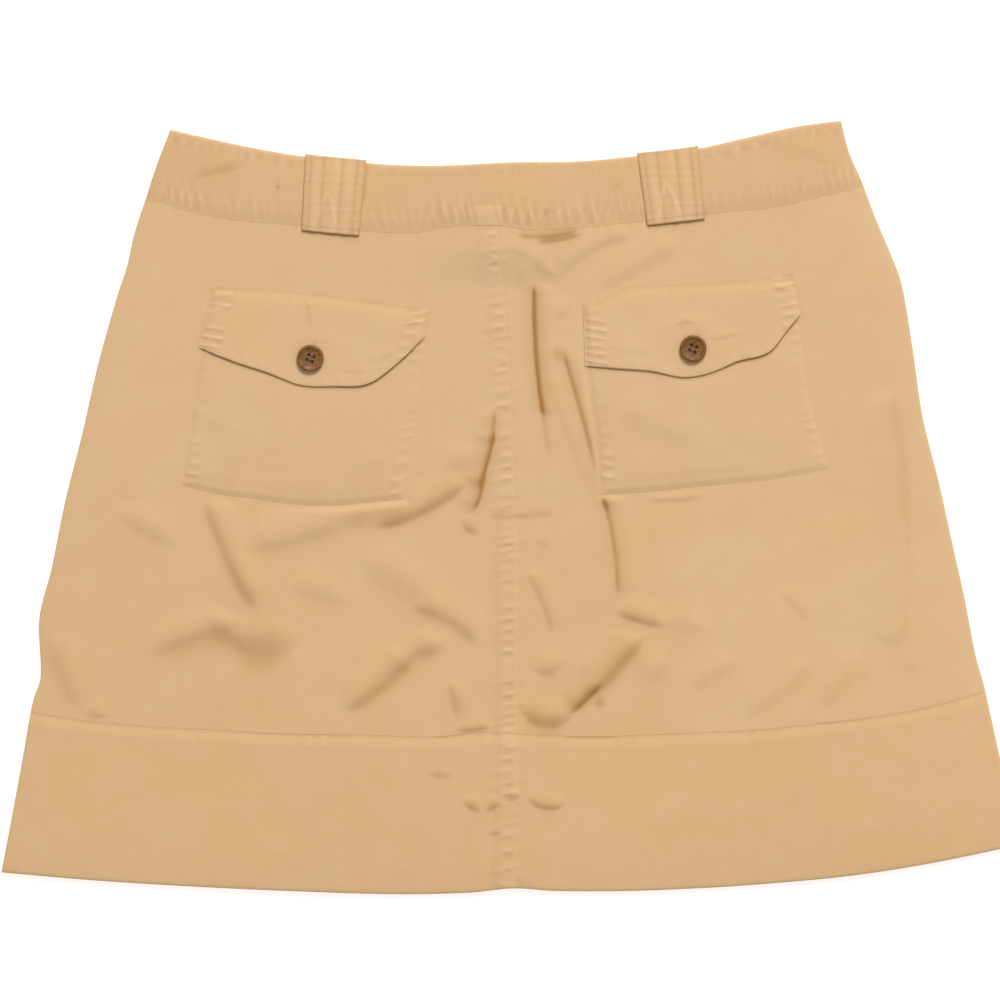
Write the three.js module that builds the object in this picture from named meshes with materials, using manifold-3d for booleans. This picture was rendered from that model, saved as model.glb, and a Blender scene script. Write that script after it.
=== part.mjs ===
// A knee-length utility skirt of heavy cotton twill, lying flat with its back up: two back panels
// joined by a felled seam, a deep double hem band, a shaped waistband with two wide belt loops, and
// two patch pockets under buttoned flaps. The front lies beneath, with a zip in its centre seam.
// Millimetres, +Z up, +Y towards the waist, +X to the right of the back, on a surface at z = 0.

import * as THREE from "three";
import { mergeVertices } from "three/addons/utils/BufferGeometryUtils.js";
import Module from "manifold-3d";

// Driving dimensions: walls of cloth, and how the layers lie on each other
const PANEL_CLOTH = 1.2; // one layer of the back
const FRONT_CLOTH = 1.0; // one layer of the front, pressed flat by what lies on it
const BAND_CLOTH = 1.8; // waistband and hem band of the back, turned double
const FRONT_BAND_CLOTH = 1.6; // the same bands of the front
const POCKET_CLOTH = 1.1;
const FLAP_CLOTH = 1.5; // two layers
const LOOP_CLOTH = 1.8; // a strip folded into four
const SEAM = 0.3; // distance between two pieces that are sewn together
const WAIST_GAP = 0.5; // the same at the waist seams, whose two sides have their points apart
const REST = FRONT_BAND_CLOTH + SEAM; // the back's underside where it lies on the front's bands
const LOFT = 2.0; // how far the back stands off the front away from its edges
const SIDE_FALL = 13; // the back comes down to its side edges over about this distance
const END_FALL = 16; // and to its hem and top edge over this, by the share below
const END_SHARE = 0.6;
const LEAST_SWELL = 0.2; // the deepest trough still lies this far off the front
const WAVE = 0.7; // slow unevenness of the back
const WAVE_X = 43; // its lengths, as radians are counted in it
const WAVE_Y = 57;
const WAVE_START_X = 0.6; // where it starts, in radians
const WAVE_START_Y = 0.9;
const EDGE_RADIUS = 2.5; // rounding of the side edges
const TURN_RADIUS = 2.0; // rounding of turned hems and of the waistband's top
const EDGE_SHARE = 0.45; // share of the wall's thickness that is left at a rounded edge
const EDGE_STEP = 0.7; // first station inside a rounded edge
const WALL_PASSES = 12; // a station's x and y depend on each other and settle in this many passes

// Side edges of the skirt at each height
const SIDES = [
  { y: 232, left: -195, right: 206 },
  { y: 210, left: -204, right: 211 },
  { y: 190, left: -211, right: 219 },
  { y: 170, left: -218, right: 226 },
  { y: 150, left: -223, right: 234 },
  { y: 130, left: -230, right: 241 },
  { y: 90, left: -242, right: 247 },
  { y: 50, left: -252, right: 252 },
  { y: 10, left: -263, right: 261 },
  { y: -30, left: -272, right: 269 },
  { y: -60, left: -280, right: 275 },
  { y: -95, left: -280, right: 281 },
  { y: -110, left: -285, right: 285 },
  { y: -150, left: -293, right: 293 },
  { y: -212, left: -306, right: 306 },
];

// Top edge of the back waistband
const TOP = [
  { x: -195, y: 231 },
  { x: -175, y: 226 },
  { x: -150, y: 220 },
  { x: -120, y: 214 },
  { x: -90, y: 210 },
  { x: -60, y: 207 },
  { x: -30, y: 206 },
  { x: 10, y: 207 },
  { x: 50, y: 207 },
  { x: 90, y: 210 },
  { x: 120, y: 213 },
  { x: 150, y: 219 },
  { x: 180, y: 225 },
  { x: 206, y: 228 },
];

// Seam between the waistband and the back panels
const WAIST_SEAM = [
  { x: -211, y: 190 },
  { x: -190, y: 183 },
  { x: -165, y: 177 },
  { x: -120, y: 172 },
  { x: -85, y: 168 },
  { x: -50, y: 166 },
  { x: -30, y: 169 },
  { x: 0, y: 169 },
  { x: 20, y: 166 },
  { x: 50, y: 167 },
  { x: 85, y: 170 },
  { x: 130, y: 174 },
  { x: 165, y: 177 },
  { x: 195, y: 183 },
  { x: 218, y: 188 },
];

// Seam between the back panels and the hem band
const BAND_SEAM = [
  { x: -288, y: -116 },
  { x: -255, y: -122 },
  { x: -220, y: -126 },
  { x: -180, y: -129 },
  { x: -140, y: -132 },
  { x: -90, y: -134 },
  { x: -45, y: -136 },
  { x: -15, y: -134 },
  { x: 15, y: -136 },
  { x: 50, y: -138 },
  { x: 110, y: -137 },
  { x: 150, y: -136 },
  { x: 185, y: -133 },
  { x: 217, y: -130 },
  { x: 250, y: -125 },
  { x: 286, y: -116 },
];

// Lower edge of the skirt
const HEM = [
  { x: -306, y: -212 },
  { x: -250, y: -218 },
  { x: -190, y: -223 },
  { x: -130, y: -227 },
  { x: -70, y: -230 },
  { x: -25, y: -230 },
  { x: 0, y: -228 },
  { x: 25, y: -230 },
  { x: 70, y: -231 },
  { x: 120, y: -230 },
  { x: 160, y: -228 },
  { x: 200, y: -225 },
  { x: 240, y: -220 },
  { x: 275, y: -214 },
  { x: 306, y: -208 },
];

// Centre-back seam
const CENTRE = [
  { y: 170, x: 0 },
  { y: 130, x: 3 },
  { y: 70, x: 6 },
  { y: 0, x: 7 },
  { y: -136, x: 5 },
  { y: -232, x: 2 },
];

// The felled strip of the centre-back seam, raised on the left panel
const FELL_WIDTH = 11.5;
const FELL_HEIGHT = 0.8;
const FELL_STEP = 1.2;

// Largest folds of the back: each runs from one point to the other, bowed sideways at its middle,
// with its height (below zero for a trough) and its half width
const FOLDS = [
  { x0: 14, y0: 136, x1: 17, y1: 54, bow: -1, height: 2.0, width: 6 },
  { x0: 32, y0: 138, x1: 34, y1: 52, bow: -2, height: 2.4, width: 7 },
  { x0: 10, y0: 156, x1: 26, y1: 140, bow: 4, height: -0.9, width: 7 },
  { x0: 37, y0: 146, x1: 86, y1: 168, bow: 5, height: 1.8, width: 7 },
  { x0: 102, y0: 160, x1: 64, y1: 134, bow: -3, height: 1.6, width: 7 },
  { x0: 138, y0: 165, x1: 168, y1: 150, bow: 2, height: 1.2, width: 9 },
  { x0: 40, y0: 102, x1: 73, y1: -50, bow: 6, height: 2.0, width: 7 },
  { x0: -10, y0: 60, x1: -24, y1: 3, bow: 3, height: 2.2, width: 7 },
  { x0: -15, y0: 41, x1: -54, y1: 25, bow: 0, height: 1.6, width: 7 },
  { x0: -25, y0: 24, x1: -80, y1: -3, bow: 4, height: 2.4, width: 8 },
  { x0: -85, y0: -6, x1: -158, y1: -16, bow: 3, height: 1.8, width: 8 },
  { x0: 13, y0: -26, x1: 24, y1: -78, bow: 0, height: 1.4, width: 8 },
  { x0: 78, y0: -73, x1: 32, y1: -116, bow: 2, height: 2.8, width: 8 },
  { x0: 6, y0: -122, x1: 38, y1: -127, bow: -3, height: -1.3, width: 9 },
  { x0: 8, y0: -87, x1: 38, y1: -84, bow: -4, height: 1.5, width: 7 },
  { x0: -42, y0: -77, x1: -104, y1: -117, bow: -5, height: 2.8, width: 8 },
  { x0: -48, y0: -55, x1: -13, y1: -76, bow: 4, height: 1.6, width: 8 },
  { x0: 65, y0: -56, x1: 118, y1: -72, bow: -2, height: 1.6, width: 8 },
  { x0: 102, y0: -82, x1: 70, y1: -113, bow: -5, height: 1.6, width: 8 },
  { x0: 140, y0: -87, x1: 104, y1: -107, bow: -2, height: 1.4, width: 8 },
  { x0: 180, y0: -93, x1: 140, y1: -120, bow: 4, height: 1.6, width: 8 },
  { x0: 207, y0: -86, x1: 180, y1: -120, bow: 3, height: 1.4, width: 8 },
  { x0: 229, y0: 40, x1: 231, y1: -90, bow: 5, height: 2.2, width: 8 },
  { x0: 191, y0: 4, x1: 202, y1: -80, bow: -2, height: 1.2, width: 11 },
  { x0: -232, y0: 11, x1: -187, y1: -16, bow: -1, height: 1.6, width: 8 },
  { x0: -171, y0: 2, x1: -144, y1: -57, bow: -3, height: 1.4, width: 9 },
  { x0: -226, y0: -72, x1: -180, y1: -60, bow: -4, height: 1.6, width: 8 },
  { x0: -160, y0: -56, x1: -121, y1: -68, bow: -8, height: 1.6, width: 10 },
  { x0: -271, y0: -66, x1: -247, y1: -112, bow: -2, height: 2.0, width: 9 },
];
const FOLD_END = 0.3; // share of a fold's length over which it fades out at each end

// The pockets and flaps hold the back calm, with no fold, this far around them
const CALM_MARGIN = 9;
const CALM_FADE = 8;

// Patch pockets under their flaps. The mouth runs along the flap's upper line, below it.
const MOUTH_DROP = 12;
const PUFF = 1.6; // how far a pocket's middle stands off the panel
const PUFF_DROP = 34; // that middle lies this far below the button
const PUFF_WIDTH = 58;
const PUFF_HEIGHT = 40;
const PATCH_EDGE = 1.2; // rounding of the edges of pockets and flaps
const FLAP_RAMP = 8.5; // length over which a flap climbs from its seam onto the pocket
const FLAP_CLEAR = 0.45; // a flap's distance from its pocket
const FLAP_LIFT = 1.0; // the flap's free edge stands up by this more
const FLAP_LIFT_WIDTH = 9;
const POCKETS = [
  {
    side: "left",
    button: { x: -114, y: 92 },
    flapTop: [
      { x: -171, y: 136 },
      { x: -140, y: 134 },
      { x: -112, y: 131 },
      { x: -80, y: 126 },
      { x: -42, y: 120 },
    ],
    flapLow: [
      { x: -181, y: 100 },
      { x: -160, y: 91 },
      { x: -140, y: 84 },
      { x: -120, y: 76 },
      { x: -100, y: 75 },
      { x: -80, y: 76 },
      { x: -62, y: 88 },
      { x: -46, y: 103 },
    ],
    flapSides: [
      { y: 136, left: -171, right: -41 },
      { y: 119, left: -176, right: -42 },
      { y: 100, left: -181, right: -47 },
    ],
    low: [
      { x: -193, y: 18 },
      { x: -170, y: 12 },
      { x: -150, y: 9 },
      { x: -125, y: 5 },
      { x: -105, y: 4 },
      { x: -85, y: 5 },
      { x: -60, y: 7 },
    ],
    sides: [
      { y: 130, left: -172, right: -43 },
      { y: 98, left: -179, right: -46 },
      { y: 50, left: -187, right: -52 },
      { y: 26, left: -191, right: -57 },
      { y: 6, left: -195, right: -60 },
    ],
  },
  {
    side: "right",
    button: { x: 115, y: 93 },
    flapTop: [
      { x: 48, y: 121 },
      { x: 62, y: 125 },
      { x: 78, y: 131 },
      { x: 116, y: 132 },
      { x: 155, y: 134 },
      { x: 178, y: 137 },
    ],
    flapLow: [
      { x: 50, y: 84 },
      { x: 70, y: 82 },
      { x: 90, y: 80 },
      { x: 108, y: 76 },
      { x: 120, y: 77 },
      { x: 130, y: 80 },
      { x: 142, y: 85 },
      { x: 156, y: 88 },
      { x: 163, y: 92 },
      { x: 171, y: 102 },
      { x: 179, y: 111 },
    ],
    flapSides: [
      { y: 137, left: 48, right: 176 },
      { y: 108, left: 50, right: 181 },
      { y: 84, left: 50, right: 185 },
    ],
    low: [
      { x: 58, y: 7 },
      { x: 85, y: 8 },
      { x: 110, y: 10 },
      { x: 135, y: 12 },
      { x: 160, y: 14 },
      { x: 180, y: 17 },
      { x: 196, y: 20 },
    ],
    sides: [
      { y: 128, left: 50, right: 177 },
      { y: 82, left: 52, right: 182 },
      { y: 61, left: 54, right: 185 },
      { y: 40, left: 57, right: 190 },
      { y: 7, left: 58, right: 198 },
    ],
  },
];

// Belt loops, each a wide strip from below the waist seam to just over the waistband's top edge
const LOOP_BELOW = 3.0;
const LOOP_OVER = 1.6;
const LOOP_CLEAR = 0.5; // a loop's points and the waistband's lie apart, so this is more than a seam
const LOOP_ARCH = 1.1;
const LOOP_TURN = 0.1; // step in which a loop's inside turns down past the top edge
const LOOPS = [
  { side: "left", low: { left: -118, right: -83 }, high: { left: -115, right: -78 } },
  { side: "right", low: { left: 89, right: 124 }, high: { left: 84, right: 121 } },
];
const LOOP_SPAN = { low: 168, high: 211 };

// Front: it stops a little inside the back all round, and its waist dips at the middle
const FRONT_INSET = 0.5;
const FRONT_HEM_INSET = 1.2;
const FRONT_DIP = 9;
const FRONT_DIP_REACH = 190; // and is level with the back's from here outward
const FRONT_CURL = 0.6; // the front's side edge rises by this to its seam with the back
const FRONT_CURL_WIDTH = 6;
const LAP = 26; // the left end of the front waistband runs on behind the right end
const LAP_BEND = 8; // it starts to rise this far before the middle
const LAP_BEND_LENGTH = 6;
const LAP_SWELL = 3.6; // how far the lap lifts the back waistband that lies on it
const LAP_SWELL_WIDTH = 34;
const LAP_SWELL_DEPTH = 38; // the swell starts this far below the waist seam
const LAP_SWELL_RISE = 26;
const HOOK = { width: 16, height: 10, thickness: 0.6, corner: 2 };
const ZIP = { length: 150, width: 24, tape: 0.8, coil: 1.3, coilWidth: 5, below: 6 };
const SLIDER = { width: 8, length: 10, height: 1.0, corner: 1.5, below: 3 };

// Buttons, with four holes and a raised rim
const BUTTON_RADIUS = 8;
const BUTTON_PROFILE = [
  { r: 0.0, z: 0.0 },
  { r: 6.4, z: 0.0 },
  { r: 7.7, z: 0.7 },
  { r: BUTTON_RADIUS, z: 1.6 },
  { r: 7.5, z: 2.6 },
  { r: 6.6, z: 2.8 },
  { r: 5.6, z: 2.0 },
  { r: 0.0, z: 1.7 },
];
const BUTTON_SEGMENTS = 22;
const BUTTON_HOLE = { radius: 0.9, offset: 1.6, segments: 8, turn: 0.35 };
const BUTTON_FLAT = 14; // the cloth lies level within this distance of a button's centre
const BUTTON_BLEND = 25;

const TWILL = new THREE.MeshStandardMaterial({ color: 0xdab384, roughness: 0.9, metalness: 0 });
const HORN = new THREE.MeshStandardMaterial({ color: 0x5a3a26, roughness: 0.45, metalness: 0 });
const STEEL = new THREE.MeshStandardMaterial({ color: 0x8e8c88, roughness: 0.4, metalness: 0.9 });

// Rises smoothly from 0 to 1 as the share goes from 0 to 1.
function smooth(share) {
  const t = Math.min(Math.max(share, 0), 1);
  return t * t * (3 - 2 * t);
}

// A smooth curve through a table's rows, and a straight line beyond its ends.
function curve(rows, from, to) {
  const points = rows.map((row) => ({ at: row[from], value: row[to] }));
  points.sort((a, b) => a.at - b.at);
  const last = points.length - 1;
  const slopes = points.map((_, i) => {
    const before = points[Math.max(i - 1, 0)];
    const after = points[Math.min(i + 1, last)];
    return (after.value - before.value) / (after.at - before.at);
  });
  return (at) => {
    if (at <= points[0].at) {
      return points[0].value + slopes[0] * (at - points[0].at);
    }
    if (at >= points[last].at) {
      return points[last].value + slopes[last] * (at - points[last].at);
    }
    let i = 0;
    while (at > points[i + 1].at) {
      i += 1;
    }
    const span = points[i + 1].at - points[i].at;
    const t = (at - points[i].at) / span;
    const rise = smooth(t);
    const ease = t * (1 - t) * span;
    const pull = (1 - t) * slopes[i] - t * slopes[i + 1];
    return points[i].value * (1 - rise) + points[i + 1].value * rise + ease * pull;
  };
}

const sideLeft = curve(SIDES, "y", "left");
const sideRight = curve(SIDES, "y", "right");
const topEdge = curve(TOP, "x", "y");
const waistSeam = curve(WAIST_SEAM, "x", "y");
const bandSeam = curve(BAND_SEAM, "x", "y");
const hemEdge = curve(HEM, "x", "y");
const centreSeam = curve(CENTRE, "y", "x");

// A line moved by a distance, to keep the seam's gap or to stop short of another line.
function moved(line, distance) {
  return (at) => line(at) + distance;
}

const pockets = POCKETS.map((row) => ({
  name: row.side,
  button: row.button,
  flapTop: curve(row.flapTop, "x", "y"),
  flapLow: curve(row.flapLow, "x", "y"),
  flapLeft: curve(row.flapSides, "y", "left"),
  flapRight: curve(row.flapSides, "y", "right"),
  low: curve(row.low, "x", "y"),
  left: curve(row.sides, "y", "left"),
  right: curve(row.sides, "y", "right"),
}));

// How much of a wall's thickness is there at a distance from its rounded edge.
function rounded(distance, radius) {
  const share = 1 - Math.min(Math.max(distance / radius, 0), 1);
  return EDGE_SHARE + (1 - EDGE_SHARE) * Math.sqrt(1 - share * share);
}

// Distance of a point from the nearer side edge.
function fromSide(x, y) {
  return Math.min(x - sideLeft(y), sideRight(y) - x);
}

// 1 where a pocket or flap holds the back calm, fading to 0 around it.
function calm(x, y) {
  let most = 0;
  for (const pocket of pockets) {
    const inside = Math.min(
      x - pocket.left(y),
      pocket.right(y) - x,
      y - pocket.low(x),
      pocket.flapTop(x) - y,
    );
    most = Math.max(most, smooth(1 + (inside + CALM_MARGIN) / CALM_FADE));
  }
  return most;
}

// Sum of the folds at a point: each is a bell across its line and fades out at its ends.
function folds(x, y) {
  let sum = 0;
  for (const fold of FOLDS) {
    const dx = fold.x1 - fold.x0;
    const dy = fold.y1 - fold.y0;
    const length = Math.hypot(dx, dy);
    const along = ((x - fold.x0) * dx + (y - fold.y0) * dy) / (length * length);
    if (along > 0 && along < 1) {
      const offset = ((y - fold.y0) * dx - (x - fold.x0) * dy) / length;
      const across = (offset - 4 * fold.bow * along * (1 - along)) / fold.width;
      const fade = smooth(along / FOLD_END) * smooth((1 - along) / FOLD_END);
      sum += fold.height * fade * Math.exp(-across * across);
    }
  }
  return sum;
}

// A point pulled to the nearby button's centre, so that what is worked out there lies level.
function held(atX, atY) {
  let x = atX;
  let y = atY;
  for (const { button } of pockets) {
    const distance = Math.hypot(atX - button.x, atY - button.y);
    const hold = 1 - smooth((distance - BUTTON_FLAT) / (BUTTON_BLEND - BUTTON_FLAT));
    x += (button.x - atX) * hold;
    y += (button.y - atY) * hold;
  }
  return [x, y];
}

// Height of the back's underside: level at a button, low at the edges, with the folds between.
function backUnder(atX, atY) {
  const [x, y] = held(atX, atY);
  const inset = Math.max(fromSide(x, y), 0);
  const ends = Math.max(Math.min(y - hemEdge(x), topEdge(x) - y), 0);
  const swell = (1 - Math.exp(-inset / SIDE_FALL)) * (1 - END_SHARE * Math.exp(-ends / END_FALL));
  const wave = WAVE * Math.sin(x / WAVE_X + WAVE_START_X) * Math.sin(y / WAVE_Y + WAVE_START_Y);
  const upper = smooth((y - waistSeam(x) + LAP_SWELL_DEPTH) / LAP_SWELL_RISE);
  const lap = LAP_SWELL * upper * Math.exp(-((x / LAP_SWELL_WIDTH) ** 2));
  const folded = folds(x, y) * (1 - calm(x, y));
  return REST + swell * Math.max(LOFT + wave + folded, LEAST_SWELL) + lap;
}

// Upper side of the back panels, with the felled strip along the left one's centre edge.
function panelOver(x, y) {
  const toCentre = centreSeam(y) - x;
  const fell = toCentre < -SEAM ? 0 : smooth((FELL_WIDTH + FELL_STEP - toCentre) / FELL_STEP);
  const edge = rounded(fromSide(x, y), EDGE_RADIUS);
  return backUnder(x, y) + PANEL_CLOTH * edge + FELL_HEIGHT * fell;
}

// Upper side of the hem band, turned at the hem and pressed up along its seam.
function hemBandOver(x, y) {
  const edge = rounded(fromSide(x, y), EDGE_RADIUS) * rounded(y - hemEdge(x), TURN_RADIUS);
  const toCentre = centreSeam(y) - x;
  const fell = toCentre < -SEAM ? 0 : smooth((FELL_WIDTH + FELL_STEP - toCentre) / FELL_STEP);
  return backUnder(x, y) + BAND_CLOTH * edge + FELL_HEIGHT * fell;
}

// Upper side of the back waistband, turned at its top edge.
function waistbandOver(x, y) {
  const edge = rounded(fromSide(x, y), EDGE_RADIUS) * rounded(topEdge(x) - y, TURN_RADIUS);
  return backUnder(x, y) + BAND_CLOTH * edge;
}

// Closed wall of cloth over a grid. A column or row is [share, offset]: that share of the way from
// the left or low line to the right or high line, plus the offset in millimetres.
function wall({ left, right, low, high, columns, rows, under, over }) {
  const across = columns.length;
  const up = rows.length;
  const outer = [];
  const inner = [];
  for (const [upShare, upOffset] of rows) {
    for (const [share, offset] of columns) {
      let y = 0;
      let x = 0;
      for (let pass = 0; pass < WALL_PASSES; pass += 1) {
        x = left(y) + share * (right(y) - left(y)) + offset;
        y = low(x) + upShare * (high(x) - low(x)) + upOffset;
      }
      outer.push(x, y, over(x, y));
      inner.push(x, y, under(x, y));
    }
  }
  const lower = across * up;
  const faces = [];
  for (let row = 0; row + 1 < up; row += 1) {
    for (let column = 0; column + 1 < across; column += 1) {
      const a = row * across + column;
      const b = a + 1;
      const c = a + across;
      const d = c + 1;
      faces.push(a, b, d, a, d, c);
      faces.push(lower + a, lower + d, lower + b, lower + a, lower + c, lower + d);
    }
  }
  const rim = [];
  for (let column = 0; column + 1 < across; column += 1) {
    rim.push(column);
  }
  for (let row = 0; row + 1 < up; row += 1) {
    rim.push(row * across + across - 1);
  }
  for (let column = across - 1; column > 0; column -= 1) {
    rim.push((up - 1) * across + column);
  }
  for (let row = up - 1; row > 0; row -= 1) {
    rim.push(row * across);
  }
  rim.forEach((p, i) => {
    const q = rim[(i + 1) % rim.length];
    faces.push(p, lower + p, lower + q, p, lower + q, q);
  });
  const geometry = new THREE.BufferGeometry();
  geometry.setAttribute("position", new THREE.Float32BufferAttribute([...outer, ...inner], 3));
  geometry.setIndex(faces);
  geometry.computeVertexNormals();
  return geometry;
}

// Even stations between an offset at the low end and one at the high end, both ends included.
function even(count, lowOffset, highOffset) {
  return Array.from({ length: count + 1 }, (_, i) => {
    const share = i / count;
    return [share, lowOffset * (1 - share) + highOffset * share];
  });
}

// Stations that follow a rounded edge at the low end, and the same at the high end.
const LOW_EDGE = [
  [0, 0],
  [0, EDGE_STEP],
];
const HIGH_EDGE = [
  [1, -EDGE_STEP],
  [1, 0],
];
const FELL_EDGE = [
  [1, -FELL_WIDTH],
  [1, 0],
];

const skirt = new THREE.Group();

// Adds a named mesh to the skirt.
function sew(name, geometry, material) {
  const mesh = new THREE.Mesh(geometry, material);
  mesh.name = name;
  skirt.add(mesh);
  return mesh;
}

// Back panels and hem bands, left and right of the centre-back seam
const PANEL_ROWS = even(25, 0, 0);
const BAND_ROWS = [...LOW_EDGE, ...even(3, TURN_RADIUS, 0)];
const LEFT_COLUMNS = [...LOW_EDGE, ...even(24, EDGE_RADIUS, -FELL_WIDTH - FELL_STEP), ...FELL_EDGE];
const RIGHT_COLUMNS = [...even(26, 0, -EDGE_RADIUS), ...HIGH_EDGE];
const BACK_HALVES = [
  {
    name: "left",
    left: sideLeft,
    right: moved(centreSeam, -SEAM / 2),
    columns: LEFT_COLUMNS,
  },
  {
    name: "right",
    left: moved(centreSeam, SEAM / 2),
    right: sideRight,
    columns: RIGHT_COLUMNS,
  },
];
for (const half of BACK_HALVES) {
  const panel = wall({
    left: half.left,
    right: half.right,
    low: moved(bandSeam, SEAM / 2),
    high: moved(waistSeam, -WAIST_GAP / 2),
    columns: half.columns,
    rows: PANEL_ROWS,
    under: backUnder,
    over: panelOver,
  });
  sew("back_panel_" + half.name, panel, TWILL);
  const band = wall({
    left: half.left,
    right: half.right,
    low: hemEdge,
    high: moved(bandSeam, -SEAM / 2),
    columns: half.columns,
    rows: BAND_ROWS,
    under: backUnder,
    over: hemBandOver,
  });
  sew("back_hem_band_" + half.name, band, TWILL);
}

// Back waistband, one shaped piece
const backWaistband = wall({
  left: sideLeft,
  right: sideRight,
  low: moved(waistSeam, WAIST_GAP / 2),
  high: topEdge,
  columns: [...LOW_EDGE, ...even(38, EDGE_RADIUS, -EDGE_RADIUS), ...HIGH_EDGE],
  rows: [...even(3, 0, -TURN_RADIUS), ...HIGH_EDGE],
  under: backUnder,
  over: waistbandOver,
});
sew("back_waistband", backWaistband, TWILL);

// Belt loops: each lies on the waistband, arches a little, and turns down over the top edge
for (const loop of LOOPS) {
  const sides = [
    { y: LOOP_SPAN.low, left: loop.low.left, right: loop.low.right },
    { y: LOOP_SPAN.high, left: loop.high.left, right: loop.high.right },
  ];
  const low = moved(waistSeam, -LOOP_BELOW);
  const high = moved(topEdge, LOOP_OVER);
  const turn = moved(topEdge, LOOP_CLEAR - LOOP_TURN / 2);
  const lying = (x, y) => {
    const share = (y - low(x)) / (topEdge(x) - low(x));
    const arch = LOOP_ARCH * Math.sin(Math.PI * Math.min(Math.max(share, 0), 1));
    return backUnder(x, Math.min(y, topEdge(x))) + BAND_CLOTH + LOOP_CLEAR + arch;
  };
  const geometry = wall({
    left: curve(sides, "y", "left"),
    right: curve(sides, "y", "right"),
    low,
    high,
    columns: [...LOW_EDGE, ...even(3, 2, -2), ...HIGH_EDGE],
    rows: [
      ...LOW_EDGE,
      ...even(5, 2, -LOOP_OVER + LOOP_CLEAR - LOOP_TURN),
      [1, -LOOP_OVER + LOOP_CLEAR],
      [1, -0.5],
      [1, 0],
    ],
    under: (x, y) => (y > turn(x) ? backUnder(x, topEdge(x)) : lying(x, y)),
    over: (x, y) => {
      const edge = rounded(y - low(x), 1) * rounded(high(x) - y, 1);
      return lying(x, y) + LOOP_CLOTH * edge;
    },
  });
  sew("belt_loop_" + loop.side, geometry, TWILL);
}

// Pockets, flaps and buttons. A pocket is the panel's own surface moved out, puffed at its middle.
const wasm = await Module();
wasm.setup();

// A closed mesh as a solid that can be cut.
function solidOf(geometry) {
  const bare = new THREE.BufferGeometry();
  bare.setAttribute("position", geometry.getAttribute("position"));
  bare.setIndex(geometry.index);
  const merged = mergeVertices(bare, 1e-4);
  const corners = [];
  const index = merged.index.array;
  for (let i = 0; i < index.length; i += 3) {
    const [a, b, c] = index.subarray(i, i + 3);
    if (a !== b && b !== c && c !== a) {
      corners.push(a, b, c);
    }
  }
  const vertProperties = merged.getAttribute("position").array;
  return new wasm.Manifold(
    new wasm.Mesh({ numProp: 3, vertProperties, triVerts: new Uint32Array(corners) }),
  );
}

// A solid back as a mesh geometry.
function geometryOf(solid) {
  const mesh = solid.getMesh();
  const geometry = new THREE.BufferGeometry();
  geometry.setAttribute("position", new THREE.BufferAttribute(mesh.vertProperties, 3));
  geometry.setIndex(new THREE.BufferAttribute(mesh.triVerts, 1));
  geometry.computeVertexNormals();
  return geometry;
}

// One button, standing on z = 0 about the Z axis.
function buttonGeometry() {
  const profile = BUTTON_PROFILE.map((row) => new THREE.Vector2(row.r, row.z));
  const disc = new THREE.LatheGeometry(profile, BUTTON_SEGMENTS).rotateX(Math.PI / 2);
  let solid = solidOf(disc);
  for (let i = 0; i < 4; i += 1) {
    const angle = BUTTON_HOLE.turn + (i * Math.PI) / 2;
    const hole = new THREE.CylinderGeometry(
      BUTTON_HOLE.radius,
      BUTTON_HOLE.radius,
      4 * BUTTON_RADIUS,
      BUTTON_HOLE.segments,
    );
    hole.rotateX(Math.PI / 2);
    const reach = BUTTON_HOLE.offset * Math.SQRT2;
    hole.translate(reach * Math.cos(angle), reach * Math.sin(angle), 0);
    solid = solid.subtract(solidOf(hole));
  }
  return geometryOf(solid);
}

for (const pocket of pockets) {
  const { button } = pocket;
  const middle = { x: button.x, y: button.y - PUFF_DROP };
  const puff = (atX, atY) => {
    const [x, y] = held(atX, atY);
    const aside = (x - middle.x) / PUFF_WIDTH;
    const above = (y - middle.y) / PUFF_HEIGHT;
    return PUFF * Math.exp(-aside * aside - above * above);
  };
  const pocketUnder = (x, y) => backUnder(x, y) + PANEL_CLOTH + SEAM + puff(x, y);
  const pocketWall = wall({
    left: pocket.left,
    right: pocket.right,
    low: pocket.low,
    high: moved(pocket.flapTop, -MOUTH_DROP),
    columns: [...LOW_EDGE, ...even(10, 2, -2), ...HIGH_EDGE],
    rows: [...LOW_EDGE, ...even(9, 2, 0)],
    under: pocketUnder,
    over: (x, y) => {
      const side = Math.min(x - pocket.left(y), pocket.right(y) - x, y - pocket.low(x));
      return pocketUnder(x, y) + POCKET_CLOTH * rounded(side, PATCH_EDGE);
    },
  });
  sew("pocket_" + pocket.name, pocketWall, TWILL);

  const flapUnder = (x, y) => {
    const climb = smooth((pocket.flapTop(x) - y) / FLAP_RAMP);
    const [heldX, heldY] = held(x, y);
    const free = Math.max(heldY - pocket.flapLow(heldX), 0);
    const lift = climb * (FLAP_CLEAR + FLAP_LIFT * Math.exp(-free / FLAP_LIFT_WIDTH));
    return backUnder(x, y) + PANEL_CLOTH + SEAM + climb * (puff(x, y) + POCKET_CLOTH) + lift;
  };
  const flapOver = (x, y) => {
    const side = Math.min(
      x - pocket.flapLeft(y),
      pocket.flapRight(y) - x,
      y - pocket.flapLow(x),
      pocket.flapTop(x) - y,
    );
    return flapUnder(x, y) + FLAP_CLOTH * rounded(side, PATCH_EDGE);
  };
  const flapWall = wall({
    left: pocket.flapLeft,
    right: pocket.flapRight,
    low: pocket.flapLow,
    high: pocket.flapTop,
    columns: [...LOW_EDGE, ...even(11, 2, -2), ...HIGH_EDGE],
    rows: [...LOW_EDGE, ...even(5, 2, -FLAP_RAMP), [1, -5], [1, -2], ...HIGH_EDGE],
    under: flapUnder,
    over: flapOver,
  });
  sew("flap_" + pocket.name, flapWall, TWILL);

  const mesh = sew("button_" + pocket.name, buttonGeometry(), HORN);
  mesh.position.set(button.x, button.y, flapOver(button.x, button.y) + SEAM);
}

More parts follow.
